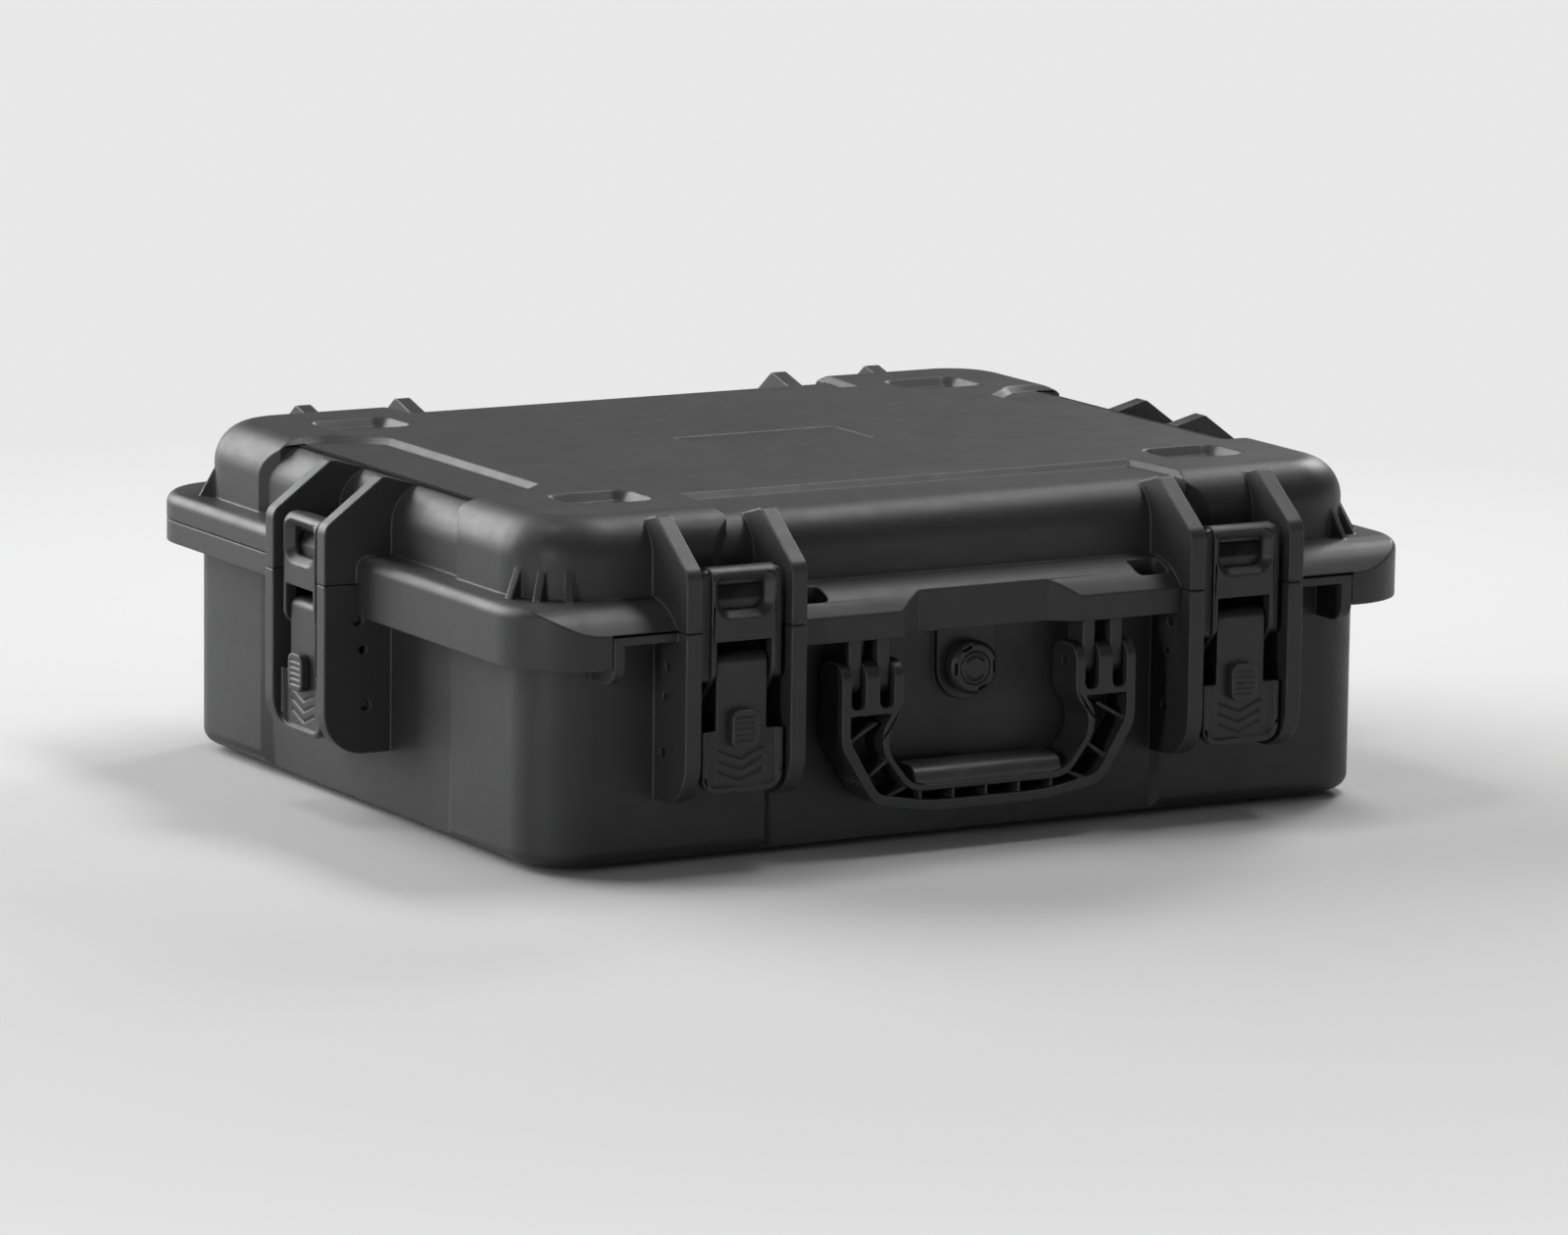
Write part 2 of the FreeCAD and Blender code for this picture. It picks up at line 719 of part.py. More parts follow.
def build_dome_corners():
    """The proud part of the dome, its steps sloped on top."""
    keep = Piece("dome_keep", keep=False)
    keep.pad(PLAN, lid_level, dome_top - lid_level, keep_outline())
    keep.dress("Chamfer", S.strip_depth, lambda edge: box_edge(edge, "Z", dome_top))
    corners = Piece("dome_corners", keep=False)
    corners.pad(PLAN, lid_level, dome_top - lid_level,
                rectangle(S.dome_half_length, S.dome_half_width, S.dome_corner_radius))
    corners.dress("Fillet", S.dome_edge_radius, lambda edge: box_edge(edge, "Z", dome_top))
    corners.combine("Common", keep)
    return corners


def build_lid_shell():
    lid = Piece("lid_shell")
    strip_top = dome_top - S.strip_depth
    lid.pad(PLAN, lid_level, strip_top - lid_level,
            rectangle(S.dome_half_length - S.strip_depth, S.dome_half_width - S.strip_depth,
                      S.dome_corner_radius - S.strip_depth))
    lid.dress("Fillet", S.dome_edge_radius, lambda edge: box_edge(edge, "Z", strip_top))
    lid.combine("Fuse", build_dome_corners())
    lid.combine("Fuse", build_flange())
    bay_pockets(lid, parting - S.shelf_skirt_drop, S.flange_height + 2 * S.shelf_skirt_drop, 0)
    add_lid_ribs(lid)
    add_keepers(lid)
    lid.combine("Fuse", build_corner_fins())
    lid.combine("Cut", build_lid_hollow())
    half = S.gasket_width / 2
    radius = S.base_corner_radius - S.wall
    lid.pocket(PLAN, lid_level - S.overrun, S.gasket_depth + S.overrun,
               rectangle(gasket_x + half, gasket_y + half, radius + half),
               rectangle(gasket_x - half, gasket_y - half, radius - half))
    for across in (-1, 1):
        for along in (-1, 1):
            pocket = lid.pocket(PLAN, dome_top - S.pocket_depth, S.pocket_depth + S.overrun,
                                rectangle(S.pocket_half_length, S.pocket_half_width, S.pocket_radius,
                                          (across * S.pocket_offset_x, along * S.pocket_offset_y)))
            lid.taper(pocket, S.pocket_flare, S.pocket_depth)
    lid.pocket(PLAN, dome_top - S.plate_depth, S.plate_depth + S.overrun,
               rectangle(S.plate_half_length, S.plate_half_width))
    return lid


# Directions of the three fins at a dome corner, in degrees from the side
FIN_ANGLES = (22.5, 41.0, 59.5)


def fin_outline(across, along, angle):
    """Plan of one fin that stands out from a dome corner's centre."""
    centre_x = S.dome_half_length - S.dome_corner_radius
    centre_y = S.dome_half_width - S.dome_corner_radius
    out_x, out_y = math.cos(math.radians(angle)), math.sin(math.radians(angle))
    root = S.dome_corner_radius - S.fin_root
    tip = S.dome_corner_radius + 2 * S.fin_reach
    half = S.fin_width / 2
    spots = [(tip, -half), (tip, half), (root, half), (root, -half)]
    return [(across * (centre_x + reach * out_x - aside * out_y),
             along * (centre_y + reach * out_y + aside * out_x)) for reach, aside in spots]


def build_corner_fins():
    """Three upright fins at each dome corner, their outer edges sloped by a cone round the corner."""
    fins = Piece("lid_fins", keep=False)
    low = flange_top - S.wall
    corners = [(across, along) for across in (-1, 1) for along in (-1, 1)]
    for across, along in corners:
        fins.pad(PLAN, low, S.wall + S.fin_height,
                 *[fin_outline(across, along, angle) for angle in FIN_ANGLES])
    cones = Piece("fin_cones", keep=False)
    for across, along in corners:
        cone = cones.pad(PLAN, low, S.wall + S.fin_height,
                         (across * (S.dome_half_length - S.dome_corner_radius),
                          along * (S.dome_half_width - S.dome_corner_radius),
                          S.dome_corner_radius + S.fin_reach + S.wall * S.fin_reach / S.fin_height))
        cones.taper(cone, -S.fin_reach, S.fin_height)
    fins.combine("Common", cones)
    return fins


def build_lid_hollow():
    """The space inside the dome, a wall's thickness within the recessed strips."""
    hollow = Piece("lid_hollow", keep=False)
    ceiling = dome_top - S.strip_depth - S.wall
    inset = S.strip_depth + S.wall
    hollow.pad(PLAN, lid_level - S.overrun, ceiling - lid_level + S.overrun,
               rectangle(S.dome_half_length - inset, S.dome_half_width - inset, S.dome_corner_radius - inset))
    hollow.dress("Fillet", S.dome_edge_radius - S.wall, lambda edge: box_edge(edge, "Z", ceiling))
    return hollow


# Where the flange's front slope bends, as shares of the flange's height
SHOULDER_SHARE = 0.75
DROP_SHARE = 0.17


def build_flange():
    """Flange with its skirts, the sloped front and the finger recess."""
    flange = Piece("lid_flange", keep=False)
    flange.pad(PLAN, lid_level, flange_top - lid_level, rim_outline(0))
    flange.dress("Fillet", S.flange_edge_radius, lambda edge: box_edge(edge, "Z", flange_top))
    thin = lid_level + S.parting_gap
    shoulder = S.rim_half_width - S.flange_height * SHOULDER_SHARE
    flange.pocket(SIDE, -(S.rim_half_length + S.overrun), 2 * (S.rim_half_length + S.overrun),
                  [(-S.dome_half_width, flange_top + S.overrun), (-S.dome_half_width, flange_top),
                   (-shoulder, flange_top - S.flange_height * DROP_SHARE, 2 * S.flange_height),
                   (-S.rim_half_width, thin), (-(S.rim_half_width + S.overrun), thin),
                   (-(S.rim_half_width + S.overrun), flange_top + S.overrun)])
    outer_x, inner_x = S.rim_half_length, S.rim_half_length - S.skirt_wall
    outer_y, inner_y = S.rim_half_width, S.rim_half_width - S.skirt_wall
    radius = S.rim_corner_radius
    skirt = flange.pad(PLAN, parting - S.corner_skirt_drop, S.corner_skirt_drop + 2 * S.parting_gap,
                       [(outer_x, -bay_reach), (inner_x, -bay_reach),
                        (inner_x, -inner_y, radius - S.skirt_wall),
                        (S.skirt_end, -inner_y), (S.skirt_end, -outer_y), (outer_x, -outer_y, radius)])
    flange.mirror(SIDE, skirt)
    drop = S.shelf_skirt_drop
    flange.pad(PLAN, parting - drop, drop + 2 * S.parting_gap,
               [(rib_inner, -outer_y), (rib_inner, -inner_y), (-rib_inner, -inner_y), (-rib_inner, -outer_y)])
    flange.pad(PLAN, parting - drop, drop + 2 * S.parting_gap, finger_recess(S.skirt_wall))
    flange.pocket(PLAN, parting - drop - S.overrun, drop + S.flange_height + 2 * S.overrun,
                  opened(finger_recess(0)))
    slot = flange.pocket(PLAN, lid_level - S.overrun, S.flange_height + 2 * S.overrun, padlock_outline())
    flange.mirror(SIDE, slot)
    return flange


def lid_rib_outline(face, wall_line):
    """Side view of a lid rib: upright face, long slope, flat crest that runs into the dome."""
    crest = dome_top + S.rib_crest_rise
    return [(wall_line, lid_level), (face, lid_level),
            (face, parting + S.rib_slope_foot, S.rib_bend_radius),
            (face - S.rib_crest_inset, crest, S.rib_bend_radius / 2),
            (face - S.rib_crest_inset - S.rib_crest_run, dome_top - S.strip_depth - S.wall / 2),
            (wall_line, dome_top - S.dome_edge_radius)]


def add_lid_ribs(lid):
    """Ribs beside the latch bays and the hinge ribs with their eyes."""
    inner_y = S.dome_half_width - S.strip_depth - S.wall / 2
    inner_x = S.dome_half_length - S.strip_depth - S.wall / 2
    back = lid_rib_outline(S.rib_half_width, inner_y)
    front = [(-corner[0],) + corner[1:] for corner in back]
    side = lid_rib_outline(S.rib_half_length, inner_x)
    ribs = []
    for start in (rib_inner, rib_outer):
        ribs.append(lid.pad(SIDE, start, S.rib_thickness, front))
        ribs.append(lid.pad(SIDE, start, S.rib_thickness, back))
        ribs.append(lid.pad(SIDE, start, S.rib_thickness, (S.hinge_line, parting, S.hinge_eye_radius)))
    for start in (S.bay_half_width, -bay_reach):
        ribs.append(lid.pad(FRONT, start, S.rib_thickness, side))
    lid.mirror(SIDE, *ribs)
    hole = lid.pocket(SIDE, S.bay_offset - bay_reach - S.overrun, 2 * (bay_reach + S.overrun),
                      (S.hinge_line, parting, S.hinge_pin_radius + S.pin_clearance))
    lid.mirror(SIDE, hole)


def keeper_outline(face, wall_line):
    """Side view of a keeper: a block with a sloped nose that the catch hooks over."""
    return [(wall_line, lid_level), (face - S.keeper_front, lid_level),
            (face - S.keeper_front, parting + S.keeper_low),
            (face - S.keeper_front - S.keeper_step, parting + S.keeper_high),
            (wall_line, parting + S.keeper_high)]


def add_keepers(lid):
    """One keeper in each latch bay, from rib to rib."""
    front = keeper_outline(S.rib_half_width, S.dome_half_width - S.strip_depth - S.wall / 2)
    side = keeper_outline(S.rib_half_length, S.dome_half_length - S.strip_depth - S.wall / 2)
    front = [(-x, y) for x, y in front]
    keepers = [lid.pad(SIDE, S.bay_offset - S.bay_half_width, 2 * S.bay_half_width, front),
               lid.pad(FRONT, -S.bay_half_width, 2 * S.bay_half_width, side)]
    lid.mirror(SIDE, *keepers)


def build_gasket():
    gasket = Piece("lid_gasket")
    half = S.gasket_width / 2 - S.pin_clearance
    radius = S.base_corner_radius - S.wall
    low = parting + S.ridge_height + S.gasket_gap
    gasket.pad(PLAN, low, lid_level + S.gasket_depth - low,
               rectangle(gasket_x + half, gasket_y + half, radius + half),
               rectangle(gasket_x - half, gasket_y - half, radius - half))


def build_hinge_pins():
    for name, across in (("hinge_pin_left", -1), ("hinge_pin_right", 1)):
        pin = Piece(name)
        half = bay_reach - S.pin_inset
        pin.pad(SIDE, across * S.bay_offset - half, 2 * half, (S.hinge_line, parting, S.hinge_pin_radius))


def place_at_bay(piece, bay):
    """Set a latch piece, modelled at the front bay's rib face, into its bay."""
    x, y, turn = BAYS[bay]
    upright = FreeCAD.Rotation(FreeCAD.Vector(0, 0, 1), turn)
    piece.body.Placement = FreeCAD.Placement(FreeCAD.Vector(), upright)
    bind(piece.body, "Placement.Base.x", x)
    bind(piece.body, "Placement.Base.y", y)
    bind(piece.body, "Placement.Base.z", parting)


# Each latch bay: the middle of its rib faces and its turn about the vertical
BAYS = {
    "front_left": (-S.bay_offset, -S.rib_half_width, 0),
    "front_right": (S.bay_offset, -S.rib_half_width, 0),
    "side_left": (-S.rib_half_length, Size(0), -90),
    "side_right": (S.rib_half_length, Size(0), 90),
}


def across(piece, half, *outlines):
    """Pad a side view across the bay, half to each side of its middle."""
    return piece.pad(SIDE, -half, 2 * half, *outlines)


def build_lever(bay):
    """Lever: hub on the lever pin, neck, and a dished paddle with three chevrons."""
    lever = Piece("lever_" + bay)
    back = S.lever_front + S.lever_plate
    face = S.lever_front + S.paddle_dish
    hub_back = S.lever_pivot_depth + S.lever_hub
    catch_back = S.catch_pivot_depth + S.catch_leg_hub
    low = S.catch_pivot_drop + S.catch_leg_hub
    across(lever, S.lever_half_neck,
           [(face, -S.lever_top, S.lever_top_radius),
            (hub_back, -(S.lever_pivot_drop - S.lever_hub), S.lever_hub * HUB_SHARE),
            (hub_back, -S.catch_pivot_drop + S.catch_leg_hub), (catch_back, -S.catch_pivot_drop),
            (catch_back, -low, S.catch_leg_hub * HUB_SHARE),
            (back, -(low + S.lever_plate)), (back, -S.lever_shoulder - S.lever_plate),
            (face, -S.lever_shoulder - S.lever_plate)])
    lever.pad(FRONT, -back, S.lever_plate,
              [(S.catch_half_width, -S.lever_shoulder), (-S.catch_half_width, -S.lever_shoulder),
               (-S.catch_half_width, -S.lever_bottom, S.lever_corner_radius),
               (S.catch_half_width, -S.lever_bottom, S.lever_corner_radius)])
    dish = S.catch_half_width - S.paddle_rim
    lever.pocket(FRONT, -(S.lever_front + S.paddle_dish), S.paddle_dish + S.overrun,
                 [(dish, -S.lever_shoulder + S.overrun), (-dish, -S.lever_shoulder + S.overrun),
                  (-dish, -(S.lever_bottom - S.paddle_rim), S.lever_corner_radius - S.paddle_rim),
                  (dish, -(S.lever_bottom - S.paddle_rim), S.lever_corner_radius - S.paddle_rim)])
    for step in range(3):
        tip = -(S.chevron_first - S.chevron_pitch * step)
        end = tip + S.chevron_rise
        cut = S.chevron_depth + S.paddle_dish
        lever.pocket(FRONT, -(S.lever_front + cut), cut,
                     [(0, tip - S.chevron_width), (S.chevron_half, end - S.chevron_width),
                      (S.chevron_half, end), (0, tip), (-S.chevron_half, end),
                      (-S.chevron_half, end - S.chevron_width)])
    stem = S.slider_stem_half + S.seat_clearance
    top = S.slider_level - S.slider_stem_height / 2 - S.seat_clearance
    bottom = S.slider_level + S.slider_stem_height / 2 + S.slider_travel + S.seat_clearance
    lever.pocket(FRONT, -(back + S.overrun), S.lever_plate + 2 * S.overrun,
                 [(stem, -top), (-stem, -top), (-stem, -bottom), (stem, -bottom)])
    across_hole(lever, S.lever_half_neck, S.lever_pivot_depth, S.lever_pivot_drop, S.lever_pin_radius)
    across_hole(lever, S.lever_half_neck, S.catch_pivot_depth, S.catch_pivot_drop, S.catch_pin_radius)
    place_at_bay(lever, bay)


def across_hole(piece, half, depth, drop, radius):
    """Hole across the bay for a pin."""
    piece.pocket(SIDE, -(half + S.overrun), 2 * (half + S.overrun), (depth, -drop, radius + S.pin_clearance))


def build_catch(bay):
    """Catch: a hooked plate with a bevelled window, and two legs down to the catch pin."""
    catch = Piece("catch_" + bay)
    front = S.catch_front
    back = front + S.catch_plate
    leg_low = -(S.catch_pivot_drop + S.catch_leg_hub)
    hub_back = S.catch_pivot_depth + S.catch_leg_hub
    nose_under = S.keeper_high + S.catch_nose_gap
    across(catch, S.catch_half_width - S.catch_flank_width,
           [(front, S.catch_top, S.catch_crown_radius),
            (S.catch_nose_depth, S.catch_top - S.catch_crown_radius / 2),
            (S.catch_nose_depth, nose_under), (back, nose_under),
            (back, -S.lever_pivot_drop + S.lever_pin_radius),
            (hub_back, -(S.catch_pivot_drop - S.catch_leg_hub), S.catch_leg_hub * HUB_SHARE),
            (hub_back, leg_low, S.catch_leg_hub * HUB_SHARE),
            (S.catch_pivot_depth - S.catch_leg_hub, leg_low, S.catch_leg_hub),
            (front, -S.catch_leg_bend, S.catch_crown_radius)])
    flank = S.catch_half_width - S.catch_flank_width
    for start in (-S.catch_half_width, flank):
        catch.pad(SIDE, start, S.catch_flank_width,
                  [(front + S.catch_flank_set, S.catch_top - S.catch_flank_set, S.catch_flank_set),
                   (back, S.catch_top - S.catch_flank_set), (back, -S.catch_flank_low),
                   (front + S.catch_flank_set, -S.catch_flank_low, S.catch_flank_round)])
    slot = S.catch_slot_half
    catch.pocket(FRONT, -(hub_back + S.overrun), hub_back + 2 * S.overrun,
                 [(slot, S.catch_slot_top), (-slot, S.catch_slot_top),
                  (-slot, leg_low - S.overrun), (slot, leg_low - S.overrun)])
    half = S.catch_window_half
    catch.pocket(FRONT, -(back + S.overrun), S.catch_plate + 2 * S.overrun,
                 [(half, S.catch_window_high, S.catch_window_top_radius),
                  (-half, S.catch_window_high, S.catch_window_top_radius),
                  (-half, S.catch_window_low, S.catch_window_radius),
                  (half, S.catch_window_low, S.catch_window_radius)])
    catch.dress("Chamfer", S.catch_window_bevel, lambda edge: in_window(edge, front))
    catch.combine("Common", build_catch_limit(bay))
    across_hole(catch, S.catch_half_width, S.catch_pivot_depth, S.catch_pivot_drop, S.catch_pin_radius)
    place_at_bay(catch, bay)


def in_window(edge, front):
    """True for an edge of the catch's window on its front face."""
    limit = (S.catch_window_half + S.catch_window_bevel).number
    box = edge.BoundBox
    return box.XMax < limit and box.XMin > -limit and box.ZMin > 0 and box_edge(edge, "Y", front)


def build_catch_limit(bay):
    """Front view of the catch with its round shoulders, run through its depth."""
    limit = Piece("catch_limit_" + bay, keep=False)
    low = -(S.catch_pivot_drop + 2 * S.catch_leg_hub)
    deep = S.catch_pivot_depth + 2 * S.catch_leg_hub
    half = S.catch_half_width
    limit.pad(FRONT, -deep, deep,
              [(half, S.catch_top, S.catch_shoulder_radius), (-half, S.catch_top, S.catch_shoulder_radius),
               (-half, low), (half, low)])
    return limit


# Width of the slider's grip lines
GRIP_SHARE = 0.72


def build_slider(bay):
    """Lock slider: a ribbed button on the lever, a stem through it and a hook over the lock bar."""
    slider = Piece("lock_slider_" + bay)
    face = S.lever_front + S.paddle_dish - S.seat_clearance
    level = -S.slider_level
    slider.pad(FRONT, -face, face - S.lever_front + S.slider_proud,
               rectangle(S.slider_half_width, S.slider_half_height, S.slider_radius, (0, level)))
    bar_top = -(S.lock_bar_drop - S.lock_bar_radius)
    bar_back = S.lock_bar_depth + S.lock_bar_radius + 2 * S.seat_clearance
    half = S.slider_stem_height / 2
    slider.pad(SIDE, -S.slider_stem_half, 2 * S.slider_stem_half,
               [(face, level + half), (bar_back + S.hook_finger, level + half),
                (bar_back + S.hook_finger, bar_top + S.hook_lift), (bar_back, bar_top + S.hook_lift),
                (bar_back, level - half), (face, level - half)])
    first = level - 2 * S.slider_grip_pitch
    front = S.slider_proud - S.lever_front
    for step in range(5):
        line = first + S.slider_grip_pitch * step
        slider.pocket(FRONT, front - S.slider_grip_depth, S.slider_grip_depth + S.overrun,
                      rectangle(S.slider_half_width * GRIP_SHARE, S.slider_grip_width / 2, None, (0, line)))
    place_at_bay(slider, bay)


def build_latch_pins(bay):
    """Lever pin and lock bar, sunk in the holes of both ribs, and the catch pin from leg to leg."""
    reach = bay_reach - S.pin_inset
    rods = (("lever_pin_", reach, S.lever_pivot_depth, S.lever_pivot_drop, S.lever_pin_radius),
            ("lock_bar_", reach, S.lock_bar_depth, S.lock_bar_drop, S.lock_bar_radius),
            ("catch_pin_", S.catch_half_width - S.catch_flank_width, S.catch_pivot_depth, S.catch_pivot_drop,
             S.catch_pin_radius))
    for name, half, depth, drop, radius in rods:
        rod = Piece(name + bay)
        across(rod, half, (depth, -drop, radius))
        place_at_bay(rod, bay)


def build_latches():
    for bay in BAYS:
        build_lever(bay)
        build_catch(bay)
        build_slider(bay)
        build_latch_pins(bay)


def build_handle_frame():
    """Handle: a ribbed channel bent into a U, with a three-fingered fork at each end."""
    frame = Piece("handle_frame")
    back = S.handle_front - S.handle_depth
    level = base_level + S.handle_pivot_level
    top = level + S.handle_boss_radius
    waist = base_level + S.hand_waist_level
    side_low = base_level + S.handle_side_low
    corner = base_level + S.handle_corner_level
    bottom = base_level + S.handle_bottom
    wide = base_level + S.hand_wide_level
    hand_low = base_level + S.hand_low_level
    bend = 3 * S.handle_flange
    outer = [(S.handle_half_length, top), (S.handle_half_length, side_low, bend),
             (S.handle_corner_half, corner, bend),
             (S.handle_corner_half / 2, bottom, 2 * S.handle_corner_half)]
    opening = [(S.handle_inner_half, top), (S.handle_inner_half, waist, bend), (S.hand_wide_half, wide, bend),
               (S.hand_low_half, hand_low, bend)]
    frame.pad(FRONT, back, S.handle_depth, u_outline(outer, opening))
    flange, thin = S.handle_flange, S.hand_flange
    floor = base_level + S.handle_slot_bottom - thin
    channel_outer = [(S.handle_half_length - flange, floor),
                     (S.handle_half_length - flange, side_low + flange / 2, bend),
                     (S.handle_corner_half - flange / 2, corner + flange, bend - flange),
                     (S.handle_corner_half / 2, bottom + flange, 2 * S.handle_corner_half)]
    channel_inner = [(S.handle_inner_half + 2 * thin, floor), (S.hand_wide_half + thin, wide, bend + thin),
                     (S.hand_low_half + thin / 2, hand_low - thin, bend)]
    frame.pocket(FRONT, back + S.handle_web, S.handle_depth, u_outline(channel_outer, channel_inner))
    add_handle_ribs(frame, back, hand_low, bottom, wide, side_low, corner)
    cut_forks(frame, back, level, top)
    return frame


def u_outline(outer, inner):
    """Closed U from the right halves of its outer and inner lines, both listed from the top down."""
    left_outer = [(-corner[0],) + corner[1:] for corner in reversed(outer)]
    left_inner = [(-corner[0],) + corner[1:] for corner in inner]
    return outer + left_outer + left_inner + list(reversed(inner))


def add_handle_ribs(frame, back, hand_low, bottom, wide, side_low, corner):
    """Thin cross ribs in the channel: five upright along the bottom and three slanted at each side."""
    length = S.handle_depth - S.handle_flange / 2
    half = S.handle_rib / 2
    low, high = bottom + S.handle_flange / 2, hand_low - S.hand_flange / 2
    for step in range(5):
        x = S.handle_rib_pitch * (step - 2)
        frame.pad(FRONT, back, length, [(x + half, high), (x - half, high), (x - half, low), (x + half, low)])
    inset = S.handle_flange / 2
    lean = S.handle_rib_lean
    spokes = [((S.hand_wide_half + half, wide + lean), (S.handle_half_length - inset, side_low)),
              (((S.hand_wide_half + S.hand_low_half) / 2 + inset, (wide + hand_low) / 2 + inset),
               ((S.handle_half_length + S.handle_corner_half) / 2 - inset, (side_low + corner) / 2 - lean / 2)),
              ((S.hand_low_half + inset, hand_low - half), (S.handle_corner_half - inset, corner + half))]
    pads = []
    for (inner_x, inner_z), (outer_x, outer_z) in spokes:
        pads.append(frame.pad(FRONT, back, length,
                              [(inner_x - half, inner_z - half), (outer_x - half, outer_z - half),
                               (outer_x + half, outer_z + half), (inner_x + half, inner_z + half)]))
    frame.mirror(SIDE, *pads)


def cut_forks(frame, back, level, top):
    """Fork slots with round floors, rounded finger tops and the pin holes."""
    half = S.handle_fork_slot / 2
    floor = base_level + S.handle_slot_bottom
    slots = []
    for middle in (S.handle_inner_slot, S.handle_outer_slot):
        slots.append(frame.pocket(FRONT, back - S.overrun, S.handle_depth + 2 * S.overrun,
                                  [(middle + half, top + S.overrun), (middle - half, top + S.overrun),
                                   (middle - half, floor, half * HUB_SHARE),
                                   (middle + half, floor, half * HUB_SHARE)]))
    hole = frame.pocket(SIDE, S.handle_inner_half - S.overrun,
                        S.handle_half_length - S.handle_inner_half + 2 * S.overrun,
                        (-handle_pivot_y, level, S.handle_pin_radius + S.pin_clearance))
    frame.mirror(SIDE, *slots, hole)
    faces = (-S.handle_front, S.handle_depth - S.handle_front)
    frame.dress("Fillet", S.handle_boss_radius * HUB_SHARE,
                lambda edge: box_edge(edge, "Z", top) and any(box_edge(edge, "Y", face) for face in faces))


def build_handle_grip():
    """Soft grip bar seated on the handle's inner flange, with finger waves along its back edge."""
    grip = Piece("handle_grip")
    seat = base_level + S.hand_low_level
    front = S.handle_front - S.seat_clearance
    back = S.handle_front - S.handle_depth + S.seat_clearance
    grip.pad(SIDE, -S.grip_half_length, 2 * S.grip_half_length,
             [(-front, seat), (-front, seat + S.grip_height, S.grip_height * HUB_SHARE),
              (-back, seat + S.grip_height, S.grip_radius), (-back, seat)])
    end, foot = S.grip_half_length, S.grip_half_length - S.grip_end_run
    slant = grip.pocket(FRONT, back - S.overrun, front - back + 2 * S.overrun,
                        [(foot, seat), (end + S.overrun, seat), (end + S.overrun, seat + S.grip_end_rise),
                         (end, seat + S.grip_end_rise)])
    grip.mirror(SIDE, slant)
    for step in range(4):
        middle = S.grip_half_length * (2 * step - 3) / 4
        grip.pocket(PLAN, seat + S.grip_height - S.grip_radius, S.grip_radius + S.overrun,
                    (middle, -(back - S.grip_wave_radius + S.grip_wave_depth), S.grip_wave_radius))


def build_handle_pins():
    starts = {"handle_pin_left": -S.handle_half_length, "handle_pin_right": S.handle_inner_half}
    for name, start in starts.items():
        pin = Piece(name)
        pin.pad(SIDE, start, S.handle_half_length - S.handle_inner_half,
                (-handle_pivot_y, base_level + S.handle_pivot_level, S.handle_pin_radius))


# Directions of the four vent slots in the valve's ring, in degrees from the right
VENT_ANGLES = (0, 114, 180, 294)


def vent_outline(level, angle):
    """One vent slot, set along the ring."""
    out_x, out_z = math.cos(math.radians(angle)), math.sin(math.radians(angle))
    long, wide = S.valve_vent_half_length, S.valve_vent_half_width
    spots = [(wide, -long), (wide, long), (-wide, long), (-wide, -long)]
    return [((S.valve_vent_line + reach) * out_x - aside * out_z,
             level + (S.valve_vent_line + reach) * out_z + aside * out_x) for reach, aside in spots]


# Directions of a hexagon's corners
COS_SHARES = [math.cos(math.pi * i / 3) for i in range(6)]
SIN_SHARES = [math.sin(math.pi * i / 3) for i in range(6)]


def build_valve():
    """Pressure valve: body through the wall, seal, inner nut and the knob that turns on the body."""
    level = base_level + S.valve_level
    plate = front_wall + S.valve_plate_proud
    flange = plate + S.valve_seal
    seat = flange + S.valve_flange
    body = Piece("valve_body")
    body.pad(FRONT, flange, S.valve_flange, (0, level, S.valve_flange_radius))
    stem_back = cavity_y - S.valve_nut - S.overrun
    body.pad(FRONT, stem_back, flange - stem_back, (0, level, S.valve_stem_radius))
    body.pocket(FRONT, plate, seat - plate + S.overrun, (0, level, S.valve_pivot_radius + S.pin_clearance))
    seal = Piece("valve_seal")
    seal.pad(FRONT, plate, S.valve_seal, (0, level, S.valve_flange_radius),
             (0, level, S.valve_stem_radius + S.pin_clearance))
    nut = Piece("valve_nut")
    half = S.valve_nut_half
    corner = half / math.cos(math.pi / 6)
    nut.pad(FRONT, cavity_y - S.valve_nut, S.valve_nut,
            [(corner * COS_SHARES[i], level + corner * SIN_SHARES[i]) for i in range(6)],
            (0, level, S.valve_stem_radius + S.pin_clearance))
    knob = Piece("valve_knob")
    front = seat + S.valve_knob_gap
    knob.pad(FRONT, front, S.valve_knob_height, (0, level, S.valve_knob_radius))
    face = front + S.valve_knob_height
    knob.dress("Chamfer", S.valve_knob_height / 3, lambda edge: box_edge(edge, "Y", -face))
    groove = face - S.valve_groove_depth
    knob.pocket(FRONT, groove, S.valve_groove_depth + S.overrun,
                (0, level, S.valve_groove_radius), (0, level, S.valve_disc_radius))
    knob.pocket(FRONT, groove, S.valve_groove_depth + S.overrun,
                (0, level, S.valve_finger_outer), (0, level, S.valve_finger_inner))
    bridge = (3 * S.valve_finger_outer + S.valve_disc_radius) / 4
    knob.pad(FRONT, groove - S.valve_knob_gap, S.valve_groove_depth + S.valve_knob_gap,
             rectangle(bridge, S.valve_finger_half, None, (0, level)))
    for angle in VENT_ANGLES:
        knob.pocket(FRONT, face - S.valve_vent_depth, S.valve_vent_depth + S.overrun,
                    vent_outline(level, angle))
    knob.pad(FRONT, plate + S.valve_knob_gap, front - plate, (0, level, S.valve_pivot_radius))


def build_case():
    build_base_shell()
    build_lid_shell()
    build_gasket()
    build_hinge_pins()
    build_latches()
    build_handle_frame()
    build_handle_grip()
    build_handle_pins()
    build_valve()


